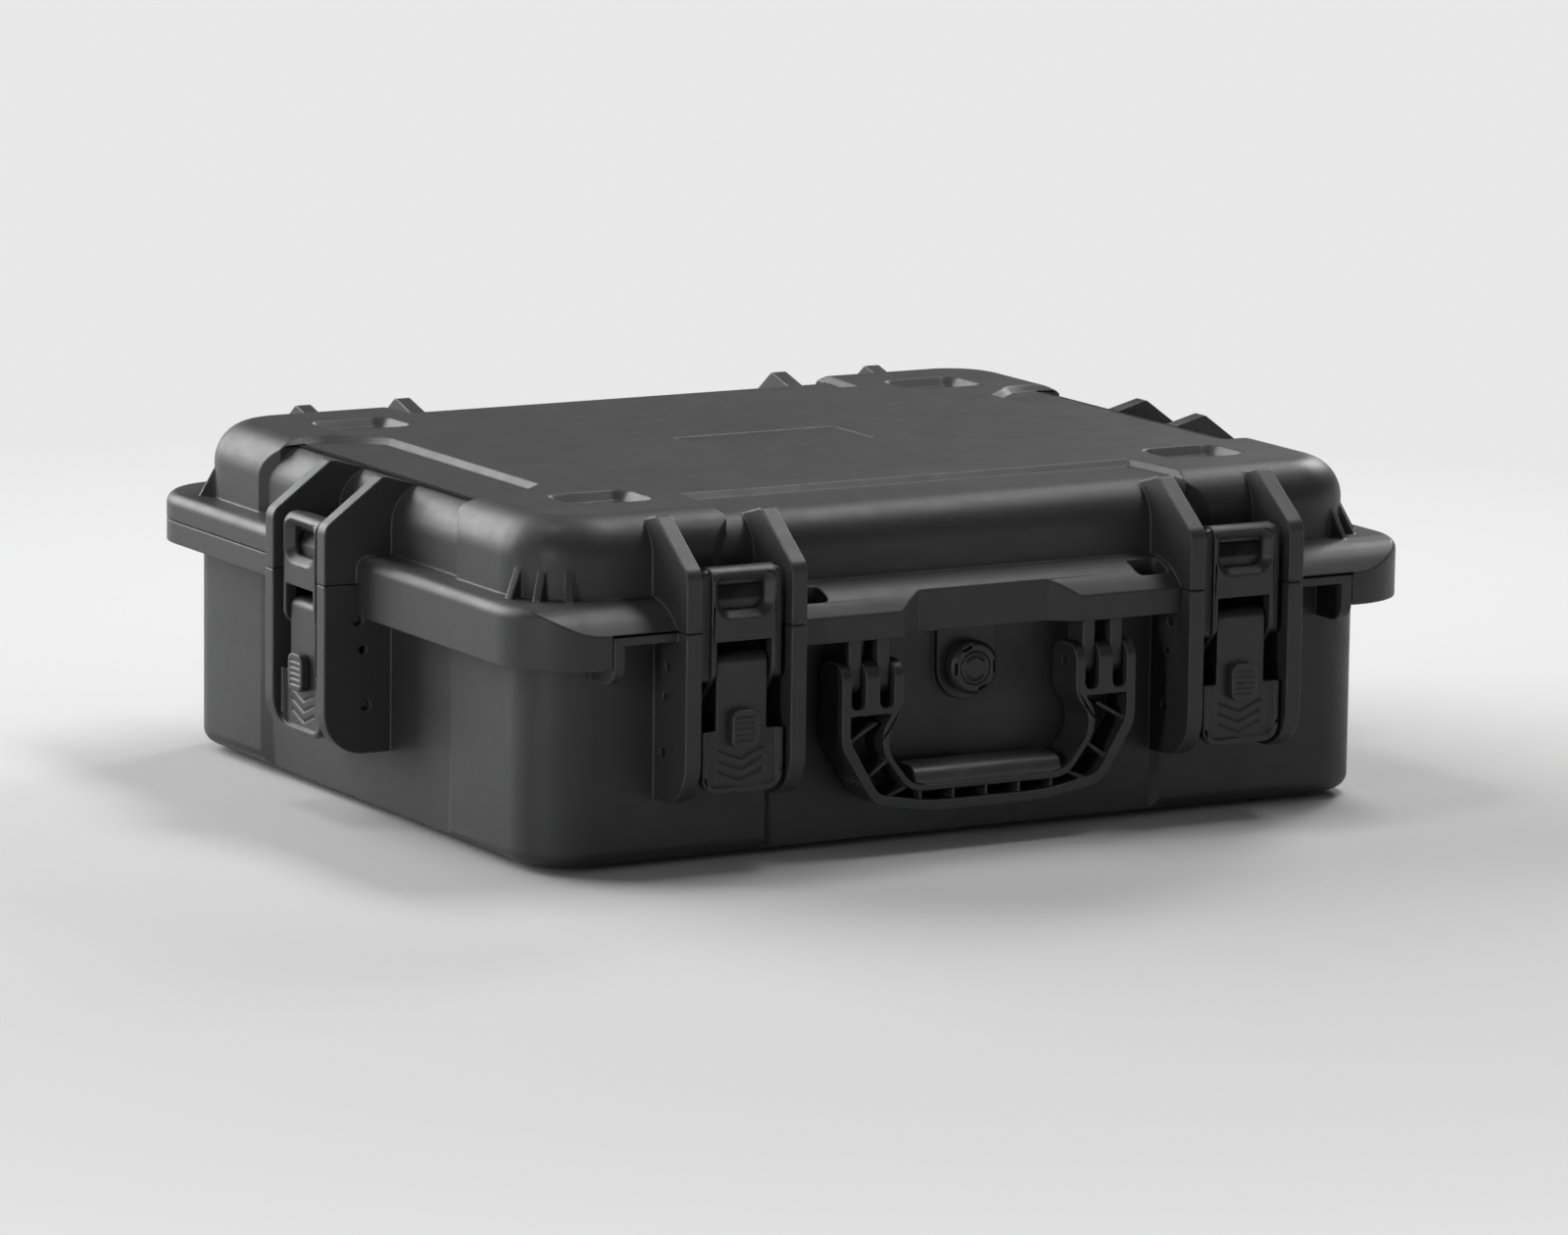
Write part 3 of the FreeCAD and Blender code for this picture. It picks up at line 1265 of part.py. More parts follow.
def check_document():
    """Stop if any object failed, any piece is not one valid solid, or a pocket cut nothing."""
    doc.recompute()
    for thing in doc.Objects:
        if "Invalid" in thing.State or "Error" in thing.State:
            raise RuntimeError("%s failed: %s" % (thing.Label, thing.State))
        if thing.TypeId == "PartDesign::Pocket" and thing.BaseFeature:
            if thing.Shape.Volume >= thing.BaseFeature.Shape.Volume:
                raise RuntimeError("%s cuts nothing" % thing.Label)
    for label, piece in PIECES.items():
        if piece.Shape.isNull() or not piece.Shape.isValid():
            raise RuntimeError("%s is not a valid shape" % label)


def write_parts():
    """One STEP file per piece."""
    os.makedirs("parts", exist_ok=True)
    for label, piece in PIECES.items():
        piece.Shape.exportStep(os.path.join("parts", label + ".step"))


build_case()
check_document()
write_parts()
for label, piece in PIECES.items():
    print(label, len(piece.Shape.Solids), round(piece.Shape.Volume))
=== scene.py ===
import math

import bpy
from bpy.props import FloatProperty, FloatVectorProperty, IntProperty, IntVectorProperty
from bpy.props import PointerProperty
from mathutils import Matrix, Vector


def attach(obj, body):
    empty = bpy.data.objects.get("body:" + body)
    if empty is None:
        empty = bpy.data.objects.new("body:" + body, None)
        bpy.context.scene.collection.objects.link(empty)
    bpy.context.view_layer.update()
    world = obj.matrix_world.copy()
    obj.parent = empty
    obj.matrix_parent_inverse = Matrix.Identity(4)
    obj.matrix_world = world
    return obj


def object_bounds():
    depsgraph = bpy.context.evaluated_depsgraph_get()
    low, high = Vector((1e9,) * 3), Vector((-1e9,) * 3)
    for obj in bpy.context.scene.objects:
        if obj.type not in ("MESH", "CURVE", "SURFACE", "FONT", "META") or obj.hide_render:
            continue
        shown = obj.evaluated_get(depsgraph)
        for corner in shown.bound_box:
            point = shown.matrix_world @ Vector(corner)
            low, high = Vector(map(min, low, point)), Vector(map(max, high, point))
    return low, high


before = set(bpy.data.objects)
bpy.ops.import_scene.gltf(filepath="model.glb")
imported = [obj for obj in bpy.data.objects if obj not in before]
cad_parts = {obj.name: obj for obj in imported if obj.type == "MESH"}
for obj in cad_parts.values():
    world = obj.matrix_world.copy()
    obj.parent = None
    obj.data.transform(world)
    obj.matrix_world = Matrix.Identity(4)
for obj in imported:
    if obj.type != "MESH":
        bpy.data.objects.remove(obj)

bl_info = {
    "name": "Hard Equipment Case",
    "version": (1, 0, 0),
    "blender": (4, 5, 0),
    "location": "View3D > Sidebar > Case",
    "description": "Finishes a moulded equipment case, and sets its studio stage",
    "category": "Object",
}

CAD_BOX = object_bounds()
# The bays that hold a latch
BAYS = ("front_left", "front_right", "side_left", "side_right")

# In the finishes, a NOISE is its detail and roughness, a SPREAD the two values that a blend
# runs between, a TONE a share of the piece's own colour, and a COVER the most of a blend.
NOISE_MIDDLE = 0.5

# Moulded plastic
CLOUD_NOISE = (4.0, 0.55)
CLOUD_SPREAD = (0.3, 0.7)
CLOUD_TONES = (0.9, 1.1)
SPECKLE_NOISE = (2.0, 0.6)
SPECKLE_SPREAD = (0.62, 0.78)
SPECKLE_COVER = 0.35
SPECKLE_TONE = 1.5
SPECKLE_SHEEN = 0.12
GRAIN_NOISE = (3.0, 0.65)
SHELL_GRAIN = 0.12
LATCH_GRAIN = 0.1
VALVE_GRAIN = 0.08
SCUFF_NOISE = (6.0, 0.7)
SCUFF_SPREAD = (0.35, 0.75)
SCUFF_LEAST = 0.35
SHEEN_SPREAD = (0.3, 0.7)
SHEEN_CHANGE = (-0.05, 0.06)
PLASTIC_IOR = 1.49
PLASTIC_GLOSS = 0.5

# Worn edges of the plastic, painted lighter as wear and as a painted highlight: rays that look
# for an edge, turn of the normal as one less its cosine, and how far wear and painted highlight
# keep from the parting line, in lengths of its reach
EDGE_RAYS = 6
EDGE_SPREAD = (0.02, 0.22)
EDGE_SHEEN = 0.12
PARTING_CLEAR = 2

# Soft rubber
BLOOM_NOISE = (5.0, 0.6)
BLOOM_SPREAD = (0.35, 0.75)
BLOOM_COVER = 0.7
BLOOM_TONE = 1.6
BLOOM_SHEEN_SPREAD = (0.3, 0.7)
RUBBER_ROUGHNESS = (0.34, 0.46)
RUBBER_GRAIN_NOISE = (2.0, 0.6)
RUBBER_GRAIN = 0.25

# Ground steel, with its dull spots and turning marks in a metre
SPOT_SCALE = 300.0
SPOT_NOISE = (4.0, 0.6)
SPOT_SPREAD = (0.5, 0.8)
SPOT_COVER = 0.5
SPOT_TONE = 0.5
SPOT_SHEEN_SPREAD = (0.3, 0.8)
STEEL_ROUGHNESS = (0.25, 0.5)
TURNING_SCALE = 2400.0
TURNING_NOISE = (2.0, 0.5)
TURNING_STRENGTH = 0.15
TURNING_DEPTH = 0.0001

# Mouldings inside: sides of a mark's ring and of its line, and a rib's round as a share of
# its width
RING_SIDES = 40
LINE_SIDES = 6
RIB_ROUND = 0.25

# Stage
WHITE = (1.0, 1.0, 1.0, 1.0)
FLOOR_SIDES = 96
FLOOR_DROP = 0.0005
# Rise of a line of sight over which the backdrop falls from its foot's tone to its top's
BACKDROP_RISE = (0.05, 0.12)
# Each lamp's place, then its width and height
LAMPS = {
    "key": ((-1.76, 3.04, 1.68), (3.5, 2.56)),
    "top": ((0.75, 0.0, 1.9), (1.3, 0.45)),
    "rim": ((1.9, 1.1, 1.3), (0.6, 0.6)),
    "strip": ((-2.0, -1.2, 0.45), (0.15, 0.9)),
    "spot": ((-0.6, 0.2, 2.0), (0.35, 0.35)),
}
# The photograph's frame in pixels, and the camera's sensor in millimetres
PHOTO_WIDTH = 1600
SENSOR_WIDTH = 36.0
SIGHT_END = 100.0

# A Mix node's colour sockets
MIX_FIRST, MIX_SECOND, MIX_RESULT = 6, 7, 2


class Wire:
    """One output of a node tree. Sums on it add Math nodes to the tree."""

    def __init__(self, owner, socket):
        self.owner = owner
        self.socket = socket

    def math(self, operation, *values):
        sockets = dict(enumerate(values))
        return self.owner.add("ShaderNodeMath", {"operation": operation}, sockets).out("Value")

    def __add__(self, other):
        return self.math("ADD", self, other)

    def __radd__(self, other):
        return self.math("ADD", other, self)

    def __sub__(self, other):
        return self.math("SUBTRACT", self, other)

    def __rsub__(self, other):
        return self.math("SUBTRACT", other, self)

    def __mul__(self, other):
        return self.math("MULTIPLY", self, other)

    def __rmul__(self, other):
        return self.math("MULTIPLY", other, self)

    def clamped(self):
        return self.math("MINIMUM", self.math("MAXIMUM", self, 0.0), 1.0)


class Step:
    """One node of a tree, with its outputs by name."""

    def __init__(self, owner, node):
        self.owner = owner
        self.node = node

    def out(self, name):
        return Wire(self.owner, self.node.outputs[name])


class Tree:
    """A node tree that grows by one node at a time."""

    def __init__(self, tree):
        self.tree = tree

    def add(self, kind, settings=None, sockets=None):
        """Add a node, set it up, then give its sockets their values or links."""
        node = self.tree.nodes.new(kind)
        for key, value in (settings or {}).items():
            setattr(node, key, value)
        for key, value in (sockets or {}).items():
            if isinstance(value, Wire):
                self.tree.links.new(value.socket, node.inputs[key])
            else:
                node.inputs[key].default_value = value
        return Step(self, node)

    def span(self, value, spread, ends=(0.0, 1.0)):
        """Map a spread of values to another between two ends, held there."""
        sockets = {"Value": value, "From Min": spread[0], "From Max": spread[1],
                   "To Min": ends[0], "To Max": ends[1]}
        return self.add("ShaderNodeMapRange", {"clamp": True}, sockets).out("Result")

    def height_of(self, place):
        return self.add("ShaderNodeSeparateXYZ", None, {"Vector": place}).out("Z")


class Shade(Tree):
    """A material and the nodes that make its finish."""

    def __init__(self, name):
        self.material = bpy.data.materials.new(name)
        self.material.use_nodes = True
        super().__init__(self.material.node_tree)
        self.tree.nodes.clear()

    def mix(self, factor, first, second):
        """Blend two colours."""
        sockets = {"Factor": factor, MIX_FIRST: first, MIX_SECOND: second}
        return self.add("ShaderNodeMix", {"data_type": "RGBA"}, sockets).out(MIX_RESULT)

    def object_place(self):
        return self.add("ShaderNodeTexCoord").out("Object")

    def noise(self, place, scale, fineness):
        detail, roughness = fineness
        sockets = {"Vector": place, "Scale": scale, "Detail": detail, "Roughness": roughness}
        return self.add("ShaderNodeTexNoise", None, sockets).out("Fac")

    def bump(self, height, strength, depth, **under):
        """Surface direction, roughened by a height."""
        sockets = {"Strength": strength, "Distance": depth, "Height": height, **under}
        return self.add("ShaderNodeBump", None, sockets).out("Normal")

    def finish(self, tone, rough, normal, fixed=None):
        """End the tree in one Principled surface."""
        sockets = {**(fixed or {}), "Base Color": tone, "Roughness": rough, "Normal": normal}
        surface = self.add("ShaderNodeBsdfPrincipled", None, sockets).out("BSDF")
        self.add("ShaderNodeOutputMaterial", None, {"Surface": surface})
        return self.material


def solid(colour):
    """A colour with full cover."""
    return (*colour, 1.0)


def shaded(colour, share):
    """A colour made lighter or darker."""
    return solid([channel * share for channel in colour])


def rounded_normal(shade, reach):
    """Surface direction with every edge rounded off."""
    return shade.add("ShaderNodeBevel", {"samples": EDGE_RAYS}, {"Radius": reach}).out("Normal")


def edge_mask(shade, rounded):
    """Edges: where a rounded normal leaves the face's own normal."""
    flat = shade.add("ShaderNodeNewGeometry").out("Normal")
    dot = {"operation": "DOT_PRODUCT"}
    along = shade.add("ShaderNodeVectorMath", dot, {0: rounded, 1: flat}).out("Value")
    return shade.span(1.0 - along, EDGE_SPREAD)


def off_parting(shade, place, finish):
    """Zero at the parting line, whose edges get neither wear nor painted highlight, and one away
    from it.
    """
    apart = shade.height_of(place) - finish.parting_level
    reach = finish.wear_and_highlight_reach
    return shade.span(apart * apart, (reach ** 2, (PARTING_CLEAR * reach) ** 2))


def moulded_plastic(name, finish, colour, roughness, grain):
    """Moulded plastic: fine grain, faint flow clouds, handling sheen, and edges lighter by wear
    and painted highlight.
    """
    shade = Shade(name)
    place = shade.object_place()
    clouds = shade.noise(place, finish.cloud_scale, CLOUD_NOISE)
    speckle = shade.noise(place, finish.speckle_scale, SPECKLE_NOISE)
    grit = shade.noise(place, finish.grain_scale, GRAIN_NOISE)
    scuffs = shade.noise(place, finish.scuff_scale, SCUFF_NOISE)
    dark, light = [shaded(colour, share) for share in CLOUD_TONES]
    tone = shade.mix(shade.span(clouds, CLOUD_SPREAD), dark, light)
    specks = shade.span(speckle, SPECKLE_SPREAD, (0.0, SPECKLE_COVER))
    tone = shade.mix(specks, tone, shaded(colour, SPECKLE_TONE))
    rounded = rounded_normal(shade, finish.wear_and_highlight_reach)
    # Edge mask for wear and a painted highlight: every edge is lit the same, whatever the light
    wear_and_highlight = edge_mask(shade, rounded) * shade.span(scuffs, SCUFF_SPREAD, (SCUFF_LEAST, 1.0))
    wear_and_highlight = wear_and_highlight * off_parting(shade, place, finish)
    # Edges painted lighter: partly wear, partly a painted highlight along every edge
    tone = shade.mix(wear_and_highlight * finish.wear_and_highlight, tone, solid(finish.wear_and_highlight_colour))
    sheen = shade.span(scuffs, SHEEN_SPREAD, SHEEN_CHANGE)
    rough = sheen + (speckle - NOISE_MIDDLE) * SPECKLE_SHEEN - wear_and_highlight * EDGE_SHEEN + roughness
    normal = shade.bump(grit, grain, finish.grain_depth, Normal=rounded)
    fixed = {"IOR": PLASTIC_IOR, "Specular IOR Level": PLASTIC_GLOSS}
    return shade.finish(tone, rough.clamped(), normal, fixed)


def soft_rubber(name, finish, colour):
    """Soft rubber: matt, with a fine dusty bloom."""
    shade = Shade(name)
    place = shade.object_place()
    bloom = shade.noise(place, finish.scuff_scale, BLOOM_NOISE)
    grit = shade.noise(place, finish.grain_scale, RUBBER_GRAIN_NOISE)
    dust = shade.span(bloom, BLOOM_SPREAD, (0.0, BLOOM_COVER))
    tone = shade.mix(dust, solid(colour), shaded(colour, BLOOM_TONE))
    rough = shade.span(bloom, BLOOM_SHEEN_SPREAD, RUBBER_ROUGHNESS)
    return shade.finish(tone, rough, shade.bump(grit, RUBBER_GRAIN, finish.grain_depth))


def ground_steel(name, colour):
    """Ground steel rod: fine turning marks and a few dull spots."""
    shade = Shade(name)
    place = shade.object_place()
    dull = shade.noise(place, SPOT_SCALE, SPOT_NOISE)
    turning = shade.noise(place, TURNING_SCALE, TURNING_NOISE)
    spots = shade.span(dull, SPOT_SPREAD, (0.0, SPOT_COVER))
    tone = shade.mix(spots, solid(colour), shaded(colour, SPOT_TONE))
    rough = shade.span(dull, SPOT_SHEEN_SPREAD, STEEL_ROUGHNESS)
    normal = shade.bump(turning, TURNING_STRENGTH, TURNING_DEPTH)
    return shade.finish(tone, rough, normal, {"Metallic": 1.0})


class CaseFinish(bpy.types.PropertyGroup):
    """Colours and surface detail of the case."""

    shell_colour: FloatVectorProperty(
        name="Shell", description="Moulded shells",
        subtype="COLOR", default=(0.044, 0.044, 0.045))
    latch_colour: FloatVectorProperty(
        name="Latch", description="Latches and handle",
        subtype="COLOR", default=(0.037, 0.037, 0.038))
    valve_colour: FloatVectorProperty(
        name="Valve", description="Pressure valve",
        subtype="COLOR", default=(0.035, 0.035, 0.036))
    rubber_colour: FloatVectorProperty(
        name="Rubber", description="Grip, gasket and seal",
        subtype="COLOR", default=(0.068, 0.068, 0.069))
    steel_colour: FloatVectorProperty(
        name="Steel", description="Oiled pins and bars",
        subtype="COLOR", default=(0.2, 0.2, 0.205))
    # Edge colour: wear, and a painted highlight along every edge
    wear_and_highlight_colour: FloatVectorProperty(
        name="Worn edge", description="Plastic rubbed light at its edges",
        subtype="COLOR", default=(0.28, 0.28, 0.28))
    shell_roughness: FloatProperty(
        name="Shell roughness", description="How matt the shells are",
        subtype="FACTOR", default=0.47)
    latch_roughness: FloatProperty(
        name="Latch roughness", description="How matt the latches, handle and valve are",
        subtype="FACTOR", default=0.43)
    cloud_scale: FloatProperty(name="Flow clouds", description="Clouds in a metre", default=9.0)
    speckle_scale: FloatProperty(
        name="Speckle", description="Speckles in a metre", default=900.0)
    grain_scale: FloatProperty(name="Grain", description="Grains in a metre", default=1500.0)
    grain_depth: FloatProperty(
        name="Grain depth", description="Depth of the grain", default=0.0002, unit="LENGTH")
    scuff_scale: FloatProperty(name="Scuffs", description="Scuffs in a metre", default=60.0)
    # How far edges take that colour: wear and painted highlight
    wear_and_highlight: FloatProperty(
        name="Wear", description="How far edges are rubbed light",
        subtype="FACTOR", default=0.8)
    # Reach of the edge rounding, and of the wear and painted highlight
    wear_and_highlight_reach: FloatProperty(
        name="Wear reach", description="How far wear goes in from an edge",
        default=0.0015, unit="LENGTH")
    # Edges at the parting line get neither wear nor painted highlight
    parting_level: FloatProperty(
        name="Parting", description="Height where lid and base meet and edges don't wear",
        default=0.1217, unit="LENGTH")


class CaseEdges(bpy.types.PropertyGroup):
    """Rounding of the moulded edges."""

    shell_edge: FloatProperty(
        name="Shell edge", description="Round of shell edges", default=0.0005, unit="LENGTH")
    latch_edge: FloatProperty(
        name="Latch edge", description="Round of latch and handle edges",
        default=0.0004, unit="LENGTH")
    fine_edge: FloatProperty(
        name="Fine edge", description="Round of small pieces", default=0.0002, unit="LENGTH")
    steps: IntProperty(name="Steps", description="Faces across a round", default=2, min=1)
    limit: FloatProperty(
        name="Limit", description="Least turn of an edge that is rounded",
        subtype="ANGLE", default=math.radians(32))
    flat: FloatProperty(
        name="Flat", description="Faces that turn less than this are one",
        subtype="ANGLE", default=math.radians(0.5))
    weld: FloatProperty(
        name="Weld", description="Points this close are one", default=0.00001, unit="LENGTH")


class CaseInside(bpy.types.PropertyGroup):
    """Mouldings inside the case: stiffening ribs in the lid and ejector marks."""

    roof_level: FloatProperty(
        name="Roof", description="Height of the lid's ceiling", default=0.1673, unit="LENGTH")
    floor_level: FloatProperty(
        name="Floor", description="Height of the base's floor", default=0.007, unit="LENGTH")
    rib_size: FloatVectorProperty(
        name="Rib", description="Width and height of a rib",
        size=2, default=(0.002, 0.0024), unit="LENGTH")
    rib_span: FloatVectorProperty(
        name="Rib field", description="Length and width of the ribbed field",
        size=2, default=(0.4, 0.32), unit="LENGTH")
    rib_count: IntVectorProperty(
        name="Ribs", description="Ribs along and across the lid",
        size=2, default=(5, 7), min=2)
    mark_radius: FloatProperty(
        name="Mark", description="Radius of an ejector mark", default=0.008, unit="LENGTH")
    mark_line: FloatProperty(
        name="Mark line", description="Radius of its raised line",
        default=0.0006, unit="LENGTH")
    mark_span: FloatVectorProperty(
        name="Mark field", description="Length and width of the field of marks",
        size=2, default=(0.39, 0.3), unit="LENGTH")
    mark_count: IntVectorProperty(
        name="Marks", description="Marks along and across the base",
        size=2, default=(5, 4), min=2)


class CaseStage(bpy.types.PropertyGroup):
    """Floor, light and camera."""

    floor_radius: FloatProperty(
        name="Floor", description="Radius of the floor", default=9.0, unit="LENGTH")
    floor_colour: FloatVectorProperty(
        name="Floor colour", description="Pale floor",
        subtype="COLOR", default=(0.7, 0.7, 0.7))
    shade_colour: FloatVectorProperty(
        name="Floor bounce", description="Floor as the case's dull faces see it",
        subtype="COLOR", default=(0.2, 0.2, 0.2))
    melt_start: FloatProperty(
        name="Melt start", description="Where the floor starts to melt into the backdrop",
        default=0.5, unit="LENGTH")
    melt_end: FloatProperty(
        name="Melt end", description="Where the floor has melted into the backdrop",
        default=1.15, unit="LENGTH")
    key_power: FloatProperty(
        name="Key", description="Power of the lamp at the back left",
        default=182.0, unit="POWER")
    top_power: FloatProperty(
        name="Top", description="Power of the lamp above", default=17.5, unit="POWER")
    rim_power: FloatProperty(
        name="Rim", description="Power of the lamp at the back right",
        default=19.5, unit="POWER")
    strip_power: FloatProperty(
        name="Strip", description="Power of the lamp at the front left",
        default=7.5, unit="POWER")
    spot_power: FloatProperty(
        name="Spot", description="Power of the small lamp above", default=4.0, unit="POWER")
    room_light: FloatProperty(
        name="Room", description="Strength of the light all round", default=0.1)
    backdrop_low: FloatProperty(
        name="Backdrop foot", description="Tone of the backdrop at its foot",
        subtype="FACTOR", default=0.81)
    backdrop_high: FloatProperty(
        name="Backdrop top", description="Tone of the backdrop high up",
        subtype="FACTOR", default=0.04)
    eye: FloatVectorProperty(
        name="Eye", description="Place of the camera",
        subtype="XYZ", default=(-2.1051, -3.7251, 0.8367), unit="LENGTH")
    turn: FloatProperty(
        name="Turn", description="Camera's turn about the case",
        subtype="ANGLE", default=math.radians(-29.56))
    rise: FloatProperty(
        name="Rise", description="Camera's height as an angle",
        subtype="ANGLE", default=math.radians(10.03))
    roll: FloatProperty(
        name="Roll", description="Camera's roll", subtype="ANGLE", default=math.radians(0.71))
    focal_pixels: FloatProperty(
        name="Focal length", description="In pixels of the photograph's frame", default=8514.0)


def mesh_tree(name, kinds):
    """New Geometry Nodes tree with named inputs and one mesh out."""
    group = bpy.data.node_groups.new(name, "GeometryNodeTree")
    group.interface.new_socket("Mesh", in_out="INPUT", socket_type="NodeSocketGeometry")
    for label, kind in kinds.items():
        group.interface.new_socket(label, in_out="INPUT", socket_type="NodeSocket" + kind)
    group.interface.new_socket("Mesh", in_out="OUTPUT", socket_type="NodeSocketGeometry")
    tree = Tree(group)
    return group, tree, tree.add("NodeGroupInput")


def set_inputs(modifier, group, values):
    """Give a modifier its tree, and the tree's named inputs their values."""
    modifier.node_group = group
    for label, value in values.items():
        modifier[group.interface.items_tree[label].identifier] = value


def crisp_tree():
    """Node tree that shades rounds smooth and leaves sharp edges crisp."""
    group, tree, given = mesh_tree("crisp_edges", {"Limit": "Float"})
    angle = tree.add("GeometryNodeInputMeshEdgeAngle").out("Unsigned Angle")
    sharp = tree.add("FunctionNodeCompare", {"operation": "GREATER_THAN"},
                     {0: angle, 1: given.out("Limit")}).out("Result")
    crisp = tree.add("GeometryNodeSetMeshNormal", {"mode": "SHARPNESS"},
                     {"Mesh": given.out("Mesh"), "Remove Custom": True,
                      "Edge Sharpness": sharp, "Face Sharpness": False}).out("Mesh")
    tree.add("NodeGroupOutput", None, {"Mesh": crisp})
    return group


def dress(node, material, edge, broad=False):
    """Give a CAD node its material, and round its sharp edges.

    A broad piece has its flat faces joined first.
    """
    settings = bpy.context.scene.case_edges
    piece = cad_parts[node]
    piece.data.materials.clear()
    piece.data.materials.append(material)
    weld = piece.modifiers.new("weld", "WELD")
    weld.merge_threshold = settings.weld
    if broad:
        flat = piece.modifiers.new("flat", "DECIMATE")
        flat.decimate_type = "DISSOLVE"
        flat.angle_limit = settings.flat
    if edge > 0:
        bevel = piece.modifiers.new("edge", "BEVEL")
        bevel.width = edge
        bevel.segments = settings.steps
        bevel.limit_method = "ANGLE"
        bevel.angle_limit = settings.limit
        bevel.use_clamp_overlap = False
        bevel.miter_outer = "MITER_ARC"
    group = bpy.data.node_groups.get("crisp_edges") or crisp_tree()
    set_inputs(piece.modifiers.new("crisp", "NODES"), group, {"Limit": settings.limit})
    even = piece.modifiers.new("even", "WEIGHTED_NORMAL")
    even.keep_sharp = True


class CASE_OT_shells(bpy.types.Operator):
    """Finish the base and lid, and the gasket between them"""

    bl_idname = "case.shells"
    bl_label = "Shells"

    def execute(self, context):
        finish = context.scene.case_finish
        edges = context.scene.case_edges
        plastic = moulded_plastic(
            "shell_plastic", finish, finish.shell_colour, finish.shell_roughness, SHELL_GRAIN)
        for node in ("base_shell", "lid_shell"):
            dress(node, plastic, edges.shell_edge, broad=True)
        dress("lid_gasket", soft_rubber("gasket_rubber", finish, finish.rubber_colour), 0)
        return {"FINISHED"}


def end_repeat(tree, given, points, shape):
    """Stand a shape on each point, make it real and give it its material."""
    copies = tree.add("GeometryNodeInstanceOnPoints", None,
                      {"Points": points, "Instance": shape}).out("Instances")
    real = tree.add("GeometryNodeRealizeInstances", None, {"Geometry": copies}).out("Geometry")
    dressed = tree.add("GeometryNodeSetMaterial", None,
                       {"Geometry": real, "Material": given.out("Material")}).out("Geometry")
    tree.add("NodeGroupOutput", None, {"Mesh": dressed})


def rib_tree():
    """A row of straight ribs."""
    kinds = {"Count": "Int", "Start": "Vector", "Step": "Vector", "Rib": "Vector",
             "Material": "Material"}
    group, tree, given = mesh_tree("rib_row", kinds)
    row = tree.add("GeometryNodeMeshLine", {"mode": "OFFSET"},
                   {"Count": given.out("Count"), "Start Location": given.out("Start"),
                    "Offset": given.out("Step")})
    rib = tree.add("GeometryNodeMeshCube", None, {"Size": given.out("Rib")})
    end_repeat(tree, given, row.out("Mesh"), rib.out("Mesh"))
    return group


def mark_tree():
    """A field of raised rings."""
    kinds = {"Length": "Float", "Width": "Float", "Along": "Int", "Across": "Int",
             "Middle": "Vector", "Radius": "Float", "Line": "Float", "Material": "Material"}
    group, tree, given = mesh_tree("mark_field", kinds)
    grid = tree.add("GeometryNodeMeshGrid", None,
                    {"Size X": given.out("Length"), "Size Y": given.out("Width"),
                     "Vertices X": given.out("Along"), "Vertices Y": given.out("Across")})
    field = tree.add("GeometryNodeTransform", None,
                     {"Geometry": grid.out("Mesh"), "Translation": given.out("Middle")})
    path, line = [
        tree.add("GeometryNodeCurvePrimitiveCircle", None,
                 {"Resolution": sides, "Radius": given.out(radius)}).out("Curve")
        for sides, radius in ((RING_SIDES, "Radius"), (LINE_SIDES, "Line"))]
    ring = tree.add("GeometryNodeCurveToMesh", None, {"Curve": path, "Profile Curve": line})
    end_repeat(tree, given, field.out("Geometry"), ring.out("Mesh"))
    return group


def grow(name, body, group, values):
    """Run a tree to a plain mesh, as one piece that rides a body of the case."""
    seed = bpy.data.objects.new(name + "_seed", bpy.data.meshes.new(name + "_seed"))
    bpy.context.scene.collection.objects.link(seed)
    set_inputs(seed.modifiers.new("grow", "NODES"), group, values)
    grown = seed.evaluated_get(bpy.context.evaluated_depsgraph_get())
    mesh = bpy.data.meshes.new_from_object(grown)
    if not mesh.polygons:
        raise RuntimeError(name + " has no faces")
    bpy.data.objects.remove(seed)
    mesh.name = name
    piece = bpy.data.objects.new(name, mesh)
    bpy.context.scene.collection.objects.link(piece)
    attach(piece, body)
    return piece


class CASE_OT_inside(bpy.types.Operator):
    """Add the lid's stiffening ribs and the ejector marks inside the case"""

    bl_idname = "case.inside"
    bl_label = "Inside"

    def execute(self, context):
        inside = context.scene.case_inside
        plastic = bpy.data.materials["shell_plastic"]
        self.add_ribs(inside, plastic, context.scene.case_edges.steps)
        self.add_marks(inside, plastic)
        return {"FINISHED"}

    @staticmethod
    def add_ribs(inside, plastic, steps):
        """Ribs along and across the lid's ceiling."""
        group = rib_tree()
        width, height = inside.rib_size
        level = inside.roof_level - height / 2
        span = inside.rib_span
        for name, across in (("roof_ribs_along", 1), ("roof_ribs_across", 0)):
            count = inside.rib_count[1 - across]
            start, step, rib = [0.0, 0.0, level], [0.0, 0.0, 0.0], [span[0], span[1], height]
            start[across] = -span[across] / 2
            step[across] = span[across] / (count - 1)
            rib[across] = width
            row = {"Count": count, "Start": start, "Step": step, "Rib": rib, "Material": plastic}
            edge = grow(name, "lid", group, row).modifiers.new("edge", "BEVEL")
            edge.width = width * RIB_ROUND
            edge.segments = steps

    @staticmethod
    def add_marks(inside, plastic):
        """Ejector marks on the base's floor."""
        length, width = inside.mark_span
        along, across = inside.mark_count
        field = {"Length": length, "Width": width, "Along": along, "Across": across,
                 "Middle": (0.0, 0.0, inside.floor_level), "Radius": inside.mark_radius,
                 "Line": inside.mark_line, "Material": plastic}
        marks = grow("floor_marks", "base", mark_tree(), field)
        for face in marks.data.polygons:
            face.use_smooth = True


